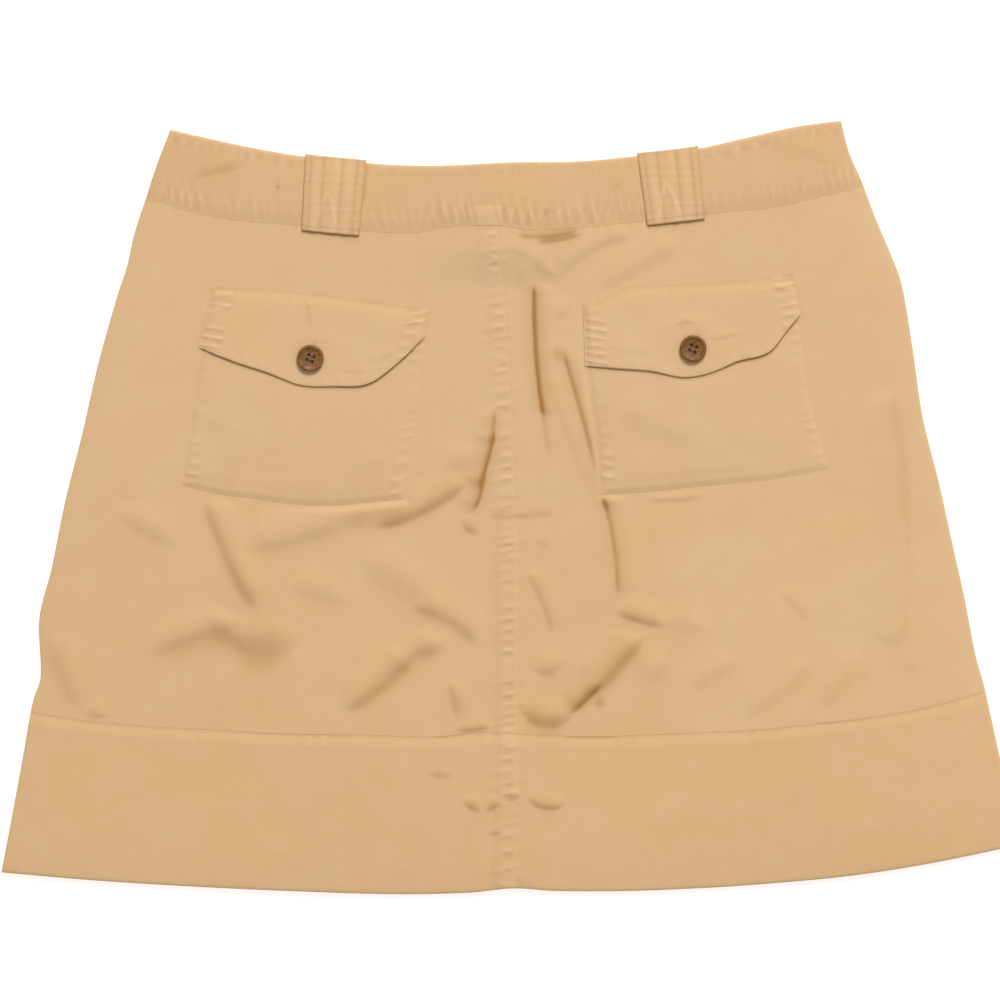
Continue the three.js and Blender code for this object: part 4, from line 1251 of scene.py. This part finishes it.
loop_columns = stations(34, 0.6, (0.0, 0.3, 0.7, 1.2), (0.0, 0.3, 0.7, 1.2))
loop_rows = np.concatenate(
    [
        stations(43, 0.8, (0.0, 0.3, 0.7, 1.2), (LOOP_OVER - SEAM + LOOP_TURN,)),
        [(1.0, -LOOP_OVER + SEAM), (1.0, -0.9), (1.0, -0.5), (1.0, -0.2), (1.0, 0.0)],
    ]
)
for side, (left, right) in loop_sides.items():

    def loop_relief(x, y, left=left, right=right):
        """Soft ridges between the rows, small puckers across them, rounded long edges, and a fold
        like an upturned V above the lower end."""
        share = (x - left(y)) / (right(y) - left(y))
        width = right(y) - left(y)
        rows = sum(groove((share - row) * width, 0.30) for row in LOOP_ROWS)
        ridges = sum(high * bell(share - at, 0.055) for at, high in LOOP_RIDGES)
        ridges = ridges * (0.7 + 0.3 * np.sin(y / 6.0 + 9.0 * share))
        ladder = 0.10 * gathered(y, 10.0 * share, 5.2, 1.4)
        edge = rounded(np.minimum(x - left(y), right(y) - x), 3.4) - 1.0
        turned = LOOP_CLOTH * 0.8 * edge / (1.0 - EDGE_SHARE)
        above = y - loop_low(x)
        tent = np.abs(share - 0.40) * width - 0.30 * (26.0 - above)
        tent = 0.34 * bell(tent, 1.3) * strip(above, 3.0, 21.0, 5.0)
        return rows + ridges + ladder + turned + tent + groove(above - LOOP_END_ROW, 0.2)

    def loop_shade(x, y, left=left, right=right):
        """A slightly deeper tone all over, and painted shade in the rows' lines and along the lower end."""
        share = (x - left(y)) / (right(y) - left(y))
        # painted shade in the rows' lines
        lines = sum(bell((share - row) * (right(y) - left(y)), 0.9) for row in LOOP_ROWS)
        # painted shadow along the lower end
        end = 0.15 * bell(y - loop_low(x), 0.7)
        return -LOOP_DEEPER - 0.06 * lines - end

    name = "belt_loop_cloth_" + side
    loop = wall(
        name,
        left,
        right,
        loop_low,
        loop_high,
        loop_columns,
        loop_rows,
        loop_under,
        loop_over,
        loop_relief,
        loop_shade,
        thin=1,
    )
    sewn_in(loop, twill)
    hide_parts("belt_loop_" + side)

    loop_top = both(loop_over, loop_relief)
    middle_x = 0.5 * (left(np.array(211.0)) + right(np.array(211.0)))
    loop_y = upward(167.0, float(top_edge(middle_x)) - 1.5)
    for row in LOOP_ROWS:
        row_x = left(loop_y) + row * (right(loop_y) - left(loop_y))
        inside = loop_y > loop_low(row_x) + 1.5
        loop_threads.append(stitch_points(row_x[inside], loop_y[inside], loop_top))
    end_x = np.linspace(float(left(np.array(170.0))) + 1.5, float(right(np.array(170.0))) - 1.5, 30)
    loop_threads.append(stitch_points(end_x, loop_low(end_x) + LOOP_END_ROW, loop_top))
sewing("belt_loop_thread", loop_threads, thread)

# Patch pockets: one layer of twill with its edges turned in, sewn to the panel by two rows along
# the sides and the bottom. The middle puffs out a little, and the mouth is open under the flap.
POCKET_CLOTH = 0.7
MOUTH_DROP = 12.0
PUFF = 1.3
PUFF_DROP = 34.0
PUFF_WIDTH = 58.0
PUFF_HEIGHT = 40.0
PUFF_FADE = 12.0
PATCH_EDGE = 1.2
POCKET_ROWS = (1.5, 7.4)
PATCH_ROUND = 3.5
PATCH_SHARE = 0.15
POCKET_CREASES = [  # x0, y0, x1, y1, bow, height, dark side's width, width behind the crest, painted shade
    (64, 60, 122, 33, -3, 0.6, 11, 12, 0.12),
    (-188, 60, -150, 46, -2, 0.4, 9, 12, 0.06),
    (-182, 36, -150, 30, -2, 0.3, 9, 12, 0.04),
    (-100, 18, -62, 34, -2, 0.5, 9, 12, 0.08),
    (128, 40, 180, 30, -3, 0.3, 10, 14, 0.03),
]
patch_stations = (0.0, 0.25, 0.6, 1.1)
pocket_columns = stations(132, 1.1, patch_stations, patch_stations)
pocket_rows = stations(112, 1.1, patch_stations)
pocket_threads = []


def patch_edge(distance):
    """Share of a patch's thickness at a distance from its sewn edge: a soft rise."""
    return PATCH_SHARE + (1.0 - PATCH_SHARE) * smooth(distance / PATCH_ROUND)


def puff_of(pocket):
    """How far a pocket's middle stands off the panel: a wide bell below its button."""
    middle_x, middle_y = pocket["button"][0], pocket["button"][1] - PUFF_DROP

    def puff(x, y):
        x, y = held(x, y)
        along, up = (x - middle_x) / PUFF_WIDTH, (y - middle_y) / PUFF_HEIGHT
        return PUFF * np.exp(-np.square(along) - np.square(up))

    return puff


for side, pocket in POCKETS.items():
    pocket["puff"] = puff_of(pocket)

    def pocket_edges(x, y, pocket=pocket):
        """Distances to the left, the right and the bottom edge."""
        return x - pocket["left"](y), pocket["right"](y) - x, y - pocket["low"](x)

    def pocket_under(x, y, pocket=pocket):
        """On the panel at its sewn edges, and puffed off it between them."""
        inside = smooth(np.minimum.reduce(pocket_edges(x, y)) / PUFF_FADE)
        return back_under(x, y) + PANEL_CLOTH + CLOSE + (SEAM + pocket["puff"](x, y)) * inside

    def pocket_over(x, y, pocket=pocket):
        """The underside plus the cloth, thin at its sewn edges, and the pocket's own creases."""
        edge = patch_edge(np.minimum.reduce(pocket_edges(x, y)))
        return pocket_under(x, y) + POCKET_CLOTH * edge + crease_sum(POCKET_CREASES, x, y)

    def pocket_relief(x, y, pocket=pocket):
        """The turned edges' ridge with its two rows, and puckers across it at the sides and fainter
        ones at the bottom."""
        from_left, from_right, from_low = pocket_edges(x, y)
        nearest = np.minimum.reduce([from_left, from_right, from_low])
        rows = sum(groove(nearest - row, 0.04) for row in POCKET_ROWS)
        allowance = 0.05 * strip(nearest, 2.5, 7.0, 2.5)
        inner = strip(from_low, 4.0, 200.0, 3.0)
        ladder = gathered(y, from_left, 6.6, 0.9) * strip(from_left, 2.0, 7.4, 2.0)
        ladder += gathered(y, from_right, 6.6, 2.6) * strip(from_right, 2.0, 7.4, 2.0)
        ladder = ladder * (0.6 + 0.4 * np.sin(y / 17.0 + 0.5))
        lower = gathered(x, from_low, 9.5, 1.3) * strip(from_low, 2.0, 7.0, 1.5)
        bare = smooth((pocket["flap_low"](x) - y + 1.0) / 2.5)
        return (rows + allowance + 0.40 * ladder * inner + 0.10 * lower) * bare

    def pocket_shade(x, y, pocket=pocket):
        """Painted shadow just below the flap's free edge, most so where that edge slants up to the right,
        and along the pocket's lower edge, with the pocket creases' painted shade."""
        under_flap = pocket["flap_low"](x) - y
        slant = 0.45 + 0.4 * smooth((x - pocket["button"][0] - 12.0) / 25.0)
        # painted shadow under the flap's free edge
        near = slant * bell(under_flap - 0.6, 1.1) + 0.04 * bell(under_flap - 4.0, 6.0)
        # painted shade line along the pocket's lower edge, and the creases' painted shade
        return crease_painted_shade(POCKET_CREASES, x, y) - near - 0.20 * bell(y - pocket["low"](x), 0.7)

    cloth = wall(
        "pocket_cloth_" + side,
        pocket["left"],
        pocket["right"],
        pocket["low"],
        moved(pocket["flap_top"], -MOUTH_DROP),
        pocket_columns,
        pocket_rows,
        pocket_under,
        pocket_over,
        pocket_relief,
        pocket_shade,
    )
    sewn_in(cloth, twill)
    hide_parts("pocket_" + side)

    pocket_top = both(pocket_over, pocket_relief)
    for row in POCKET_ROWS:
        edge_y = upward(4.0, 112.0)
        for line, inward in ((pocket["left"], row), (pocket["right"], -row)):
            edge_x = line(edge_y) + inward
            sewn = edge_y > pocket["low"](edge_x) + row
            pocket_threads.append(stitch_points(edge_x[sewn], edge_y[sewn], pocket_top))
        start = float(pocket["left"](np.array(12.0))) + row
        low_x = upward(start, float(pocket["right"](np.array(8.0))) - row)
        pocket_threads.append(stitch_points(low_x, pocket["low"](low_x) + row, pocket_top))
sewing("pocket_thread", pocket_threads, thread)

# Pocket flaps: two layers of twill, sewn down along the top, free at the shaped lower edge, which
# stands off the pocket. Two rows follow the lower edge, and a line of puckers runs up each side.
FLAP_CLOTH = 1.0
FLAP_RAMP = 11.0
FLAP_CLEAR = 0.2
FLAP_LIFT = 0.3
FLAP_LIFT_WIDTH = 7.0
FLAP_LIFT_ASIDE = 8.0
# painted shade along the flap's sewn top
FLAP_TOP_SHADE = 0.16
FLAP_EDGE_ROW = 1.6
FLAP_ROWS = (FLAP_EDGE_ROW, 7.2)
FLAP_SIDE_ROW = 14.0
FLAP_CREASES = [  # x0, y0, x1, y1, bow, height, dark side's width, width behind the crest, painted shade
    (-117, 130, -114, 107, 1, 0.35, 1.6, 3, 0.15),
    (-86, 90, -60, 98, -3, 0.35, 3, 6, 0.05),
    (-100, 88, -76, 84, -2, 0.3, 3, 5, 0.05),
    (102, 105, 119, 107, 3, 0.4, 1.6, 3, 0.20),
    (122, 99, 146, 102, -1, 0.35, 2, 4, 0.15),
    (60, 97, 96, 92, -2, 0.3, 3, 6, 0.05),
]
flap_columns = stations(132, 1.0, patch_stations, patch_stations)
flap_rows = stations(48, 0.9, patch_stations, (0.0, 0.3, 0.8, 1.4, 2.2, 3.2, 4.2))
flap_threads = []


def flap_shapes(pocket):
    """The flap's underside, upper side, relief and painted shade. It starts level on the panel and
    climbs onto its pocket, and its free edge stands up by a curve that dies away inside it."""

    def under(x, y):
        climb = smooth((pocket["flap_top"](x) - y) / FLAP_RAMP)
        held_x, held_y = held(x, y)
        free = np.maximum(held_y - pocket["flap_low"](held_x), 0.0)
        aside = np.minimum(x - pocket["flap_left"](y), pocket["flap_right"](y) - x)
        lift = FLAP_LIFT * np.exp(-free / FLAP_LIFT_WIDTH) * smooth(aside / FLAP_LIFT_ASIDE)
        lift = climb * (FLAP_CLEAR + lift)
        inner = np.minimum(x - pocket["left"](y), pocket["right"](y) - x)
        inside = smooth(inner / PUFF_FADE)
        on_pocket = POCKET_CLOTH * patch_edge(inner) + inside * (SEAM + pocket["puff"](x, y))
        on_pocket = on_pocket + crease_sum(POCKET_CREASES, x, y)
        return back_under(x, y) + PANEL_CLOTH + 2 * CLOSE + climb * on_pocket + lift

    def edges(x, y):
        """Distances to the left, right, lower and top edges."""
        sides = x - pocket["flap_left"](y), pocket["flap_right"](y) - x
        return *sides, y - pocket["flap_low"](x), pocket["flap_top"](x) - y

    def over(x, y):
        from_left, from_right, from_low, from_top = edges(x, y)
        free = rounded(from_low, PATCH_EDGE)
        sewn = patch_edge(np.minimum.reduce([from_left, from_right, 0.45 * from_top]))
        return under(x, y) + FLAP_CLOTH * np.minimum(free, sewn) + crease_sum(FLAP_CREASES, x, y)

    def relief(x, y):
        """The edges' ridge with its rows, and puckers up the sides and fainter ones along the top
        and the free edge, with none under the button."""
        from_left, from_right, from_low, from_top = edges(x, y)
        nearest = np.minimum.reduce([from_left, from_right, from_low])
        rows = sum(groove(nearest - row, 0.05) for row in FLAP_ROWS)
        rows = rows + groove(from_top - FLAP_EDGE_ROW, 0.04)
        allowance = 0.05 * strip(nearest, 2.5, 6.5, 2.5)
        ladder = gathered(y, from_left, 6.4, 0.5) * strip(from_left, 2.0, 12.0, 2.5)
        ladder += gathered(y, from_right, 6.4, 1.9) * strip(from_right, 2.0, 12.0, 2.5)
        columns = groove(from_left - FLAP_SIDE_ROW, 0.08) + groove(from_right - FLAP_SIDE_ROW, 0.08)
        top = gathered(x, from_top, 8.0, 1.2) * strip(from_top, 2.2, 6.0, 1.5)
        low = gathered(x, from_low, 8.5, 2.9) * strip(from_low, 2.2, 6.4, 1.5)
        puckers = 0.38 * ladder + 0.05 * top + 0.12 * low
        away = smooth((np.hypot(x - pocket["button"][0], y - pocket["button"][1]) - 8.5) / 5.0)
        return (rows + columns + allowance + puckers) * away

    def shade(x, y):
        """Painted shade: the creases', a faint deeper ring of cloth close round the button, and a deeper
        tone along the sewn top, which tones down the rise onto the pocket where it takes the light."""
        # painted shade in a ring round the button
        ring = bell(np.hypot(x - pocket["button"][0], y - pocket["button"][1]) - 8.4, 1.0)
        # painted shade along the sewn top
        top = FLAP_TOP_SHADE * strip(pocket["flap_top"](x) - y, 0.0, 8.0, 3.0)
        return crease_painted_shade(FLAP_CREASES, x, y) - 0.15 * ring - top

    return under, over, relief, shade


for side, pocket in POCKETS.items():
    flap_under, flap_over, flap_relief, flap_shade = flap_shapes(pocket)
    flap = wall(
        "flap_cloth_" + side,
        pocket["flap_left"],
        pocket["flap_right"],
        pocket["flap_low"],
        pocket["flap_top"],
        flap_columns,
        flap_rows,
        flap_under,
        flap_over,
        flap_relief,
        flap_shade,
    )
    sewn_in(flap, twill)
    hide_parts("flap_" + side)

    flap_top = both(flap_over, flap_relief)
    pocket["top"] = flap_top
    start = float(pocket["flap_left"](np.array(104.0)))
    end = float(pocket["flap_right"](np.array(104.0)))
    for row in FLAP_ROWS:
        low_x = upward(start + row + 1.0, end - row - 1.0)
        flap_threads.append(stitch_points(low_x, pocket["flap_low"](low_x) + row * 1.06, flap_top))
    top_x = upward(start + 6.0, end - 5.0)
    flap_threads.append(stitch_points(top_x, pocket["flap_top"](top_x) - FLAP_EDGE_ROW, flap_top))
    for line, row in (
        (pocket["flap_left"], FLAP_EDGE_ROW),
        (pocket["flap_left"], FLAP_SIDE_ROW),
        (pocket["flap_right"], -FLAP_EDGE_ROW),
        (pocket["flap_right"], -FLAP_SIDE_ROW),
    ):
        edge_y = upward(80.0, 134.0)
        edge_x = line(edge_y) + row
        sewn = (edge_y > pocket["flap_low"](edge_x) + 8.0) & (edge_y < pocket["flap_top"](edge_x) - 2.0)
        flap_threads.append(stitch_points(edge_x[sewn], edge_y[sewn], flap_top))
sewing("flap_thread", flap_threads, thread)

# Flap buttons: four-hole buttons of brown horn with a raised rim, sewn on with two bars of thread.
# Above each, the end of its buttonhole shows as two close rows of fine stitches.
BUTTON_PROFILE = [  # radius, height
    (0.0, 1.7),
    (2.6, 1.62),
    (4.6, 1.85),
    (5.6, 2.1),
    (6.2, 2.62),
    (6.7, 2.82),
    (7.2, 2.8),
    (7.6, 2.5),
    (7.9, 2.0),
    (8.0, 1.6),
    (7.9, 1.1),
    (7.6, 0.65),
    (7.0, 0.3),
    (6.4, 0.0),
    (3.2, 0.0),
    (0.0, 0.0),
]
BUTTON_AROUND = 72
BUTTON_SHARP = math.radians(55)
BAR_REACH = 1.6  # a bar of thread's distance from the centre, and half its length
BAR_HALF = 2.2
BAR_APART = 0.28
BAR_LEVEL = 1.72
HOLE_RADIUS = 0.9
HOLE_DEPTH = 1.3
HOLE_REACH = BAR_REACH * math.sqrt(2.0)
HOLE_TURN = 0.35
HORN_TONE = (0.190, 0.078, 0.018, 1.0)
HORN_PALE = (0.310, 0.145, 0.045, 1.0)
HORN_DEEP = (0.110, 0.042, 0.010, 1.0)
# the colour of painted shade inside the button's holes
HOLE_SHADE_TONE = (0.085, 0.034, 0.010, 1.0)
BROWN_THREAD_TONE = (0.110, 0.050, 0.024, 1.0)
BROWN_THREAD_DEEP = (0.060, 0.026, 0.012, 1.0)
BUTTONHOLE_WAY = math.radians(72)
BUTTONHOLE_REACH = (7.4, 13.2)  # from the button's centre
BUTTONHOLE_PITCH = 0.6


def brown_horn(name):
    """Polished horn: streaks and clouds of paler and darker brown, scuffed paler in places, and painted
    shade inside the holes by the attribute hole."""
    material, tree, place = new_shader(name)
    streaks = tree.node("Mapping", None, {"Vector": place, "Scale": (120.0, 700.0, 300.0)})
    streak = tree.node("TexNoise", None, {"Vector": streaks, "Scale": 1.0, "Detail": 4.0, "Distortion": 1.5})
    cloud = tree.node("TexNoise", None, {"Vector": place, "Scale": 260.0, "Detail": 3.0})
    hole = tree.node("Attribute", {"attribute_name": "hole"}, None, "Fac")
    colour = streak.between(0.42, 0.7).mix(HORN_TONE, HORN_PALE)
    colour = (cloud.between(0.5, 0.72) * 0.7).mix(colour, HORN_DEEP)
    # painted shade inside the holes
    colour = hole.mix(colour, HOLE_SHADE_TONE)
    bump = tree.node("Bump", None, {"Strength": 0.15, "Distance": 0.0001, "Height": streak})
    inputs = {
        "Base Color": colour,
        "Roughness": 0.34 + 0.25 * cloud,
        "Normal": bump,
        "Specular IOR Level": 0.25,
        "Coat Weight": 0.08,
        "Coat Roughness": 0.2,
    }
    finish_shader(tree, inputs)
    return material


def button_disc(name, centre_x, centre_y, level):
    """A turned disc: its profile carried round the centre at even angles, with closer rings about
    the holes, where the upper face drops by a smooth step inside each hole's circle."""
    radius, height = np.array(BUTTON_PROFILE, float).T
    travelled = np.concatenate([[0.0], np.cumsum(np.hypot(np.diff(radius), np.diff(height)))])
    near = np.linspace(0.15, 3.8, 22)
    far = np.linspace(4.2, travelled[-3], 30)
    below = np.linspace(travelled[-3] + 0.8, travelled[-1] - 0.3, 4)
    at = np.concatenate([near, far, below])
    ring = np.interp(at, travelled, radius)
    rise = np.interp(at, travelled, height)
    angle = np.linspace(0.0, 2.0 * np.pi, BUTTON_AROUND, endpoint=False)
    x = ring[:, None] * np.cos(angle)
    y = ring[:, None] * np.sin(angle)
    upper = (at < travelled[3])[:, None]
    hole = np.zeros_like(x)
    for quarter in range(4):
        turn = HOLE_TURN + quarter * math.pi / 2
        distance = np.hypot(x - HOLE_REACH * math.cos(turn), y - HOLE_REACH * math.sin(turn))
        hole += smooth((HOLE_RADIUS - distance) / 0.25 + 0.5) * upper
    z = rise[:, None] - HOLE_DEPTH * hole
    count, around = x.shape
    grid = np.arange(count * around).reshape(count, around)
    after = np.roll(grid, -1, axis=1)
    sides = np.stack([grid[:-1], grid[1:], after[1:], after[:-1]], axis=-1).reshape(-1, 4)
    caps = [grid[0].tolist(), grid[-1, ::-1].tolist()]
    mesh = bpy.data.meshes.new(name)
    points = np.stack([centre_x + x, centre_y + y, level + z], axis=-1).reshape(-1, 3)
    mesh.from_pydata(points * MM, [], sides.tolist() + caps)
    # the attribute hole marks where the holes' painted shade goes
    mesh.attributes.new("hole", "FLOAT", "POINT").data.foreach_set("value", hole.ravel())
    mesh.shade_smooth()
    mesh.set_sharp_from_angle(angle=BUTTON_SHARP)
    return placed(name, mesh)


horn = brown_horn("brown horn")
brown_thread = cotton_thread("brown thread", BROWN_THREAD_TONE, BROWN_THREAD_DEEP)
button_threads = []
buttonhole_threads = []
for side, pocket in POCKETS.items():
    button_x, button_y = pocket["button"]
    level = float(pocket["top"](np.array(button_x), np.array(button_y))) + SEAM
    disc = button_disc("button_disc_" + side, button_x, button_y, level)
    sewn_in(disc, horn)
    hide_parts("button_" + side)

    def over_button(x, y, z=level + BAR_LEVEL):
        return np.full_like(x, z)

    for half_turn in (math.pi, 0.0):
        turn = HOLE_TURN + math.pi / 4 + half_turn
        bar_x = button_x + BAR_REACH * math.cos(turn)
        bar_y = button_y + BAR_REACH * math.sin(turn)
        span = np.linspace(-BAR_HALF, BAR_HALF, 9)
        for beside in (-BAR_APART, BAR_APART):
            line_x = bar_x + beside * math.cos(turn) - span * math.sin(turn)
            line_y = bar_y + beside * math.sin(turn) + span * math.cos(turn)
            button_threads.append(stitch_points(line_x, line_y, over_button, 4.0, 3.9, 0.34))
    way_x, way_y = math.cos(BUTTONHOLE_WAY), math.sin(BUTTONHOLE_WAY)
    for reach in np.arange(*BUTTONHOLE_REACH, BUTTONHOLE_PITCH):
        at_x, at_y = button_x + reach * way_x, button_y + reach * way_y
        for beside in (-1.0, 1.0):
            span = np.linspace(0.25, 1.45, 7) * beside
            line_x, line_y = at_x - span * way_y, at_y + span * way_x
            buttonhole_threads.append(stitch_points(line_x, line_y, pocket["top"], 1.1, 1.1, 0.26))
sewing("button_thread", button_threads, brown_thread)
sewing("buttonhole_thread", buttonhole_threads, thread)

# Floor and light: a sheet of paper under the skirt that gives off a little light, so that it shows
# white, one broad soft lamp above the waist side, and even light from all round. In metres.
FLOOR_SIZE = 6.0
FLOOR_DROP = 0.0004
PAPER_GLOW = 0.55
LAMP_PLACE = (1.7, 5.4, 5.4)
LAMP_POWER = 500.0
LAMP_SIZE = 2.6
AROUND = 0.46

floor_mesh = bpy.data.meshes.new("floor")
corner = FLOOR_SIZE / 2
floor_corners = [(-corner, -corner), (corner, -corner), (corner, corner), (-corner, corner)]
floor_mesh.from_pydata([(x, y, -FLOOR_DROP) for x, y in floor_corners], [], [(0, 1, 2, 3)])
floor = placed("floor", floor_mesh)
paper, tree, place = new_shader("white paper")
grain = tree.node("TexNoise", None, {"Vector": place, "Scale": 40.0})
paper_inputs = {
    "Base Color": grain.mix((0.93, 0.93, 0.93, 1.0), (0.95, 0.95, 0.95, 1.0)),
    "Roughness": 0.9,
    "Emission Color": (1.0, 1.0, 1.0, 1.0),
    "Emission Strength": PAPER_GLOW,
}
finish_shader(tree, paper_inputs)
floor_mesh.materials.append(paper)

lamp = placed("lamp", bpy.data.lights.new("lamp", "AREA"))
lamp.data.shape = "DISK"
lamp.data.size = LAMP_SIZE
lamp.data.energy = LAMP_POWER
lamp.location = LAMP_PLACE
way = np.array(LAMP_PLACE)
lamp.rotation_euler = (math.acos(way[2] / np.linalg.norm(way)), 0.0, math.atan2(way[0], -way[1]))

world = bpy.data.worlds.new("world")
bpy.context.scene.world = world
world.use_nodes = True
backdrop = world.node_tree.nodes["Background"]
backdrop.inputs["Color"].default_value = (1.0, 1.0, 1.0, 1.0)
backdrop.inputs["Strength"].default_value = AROUND
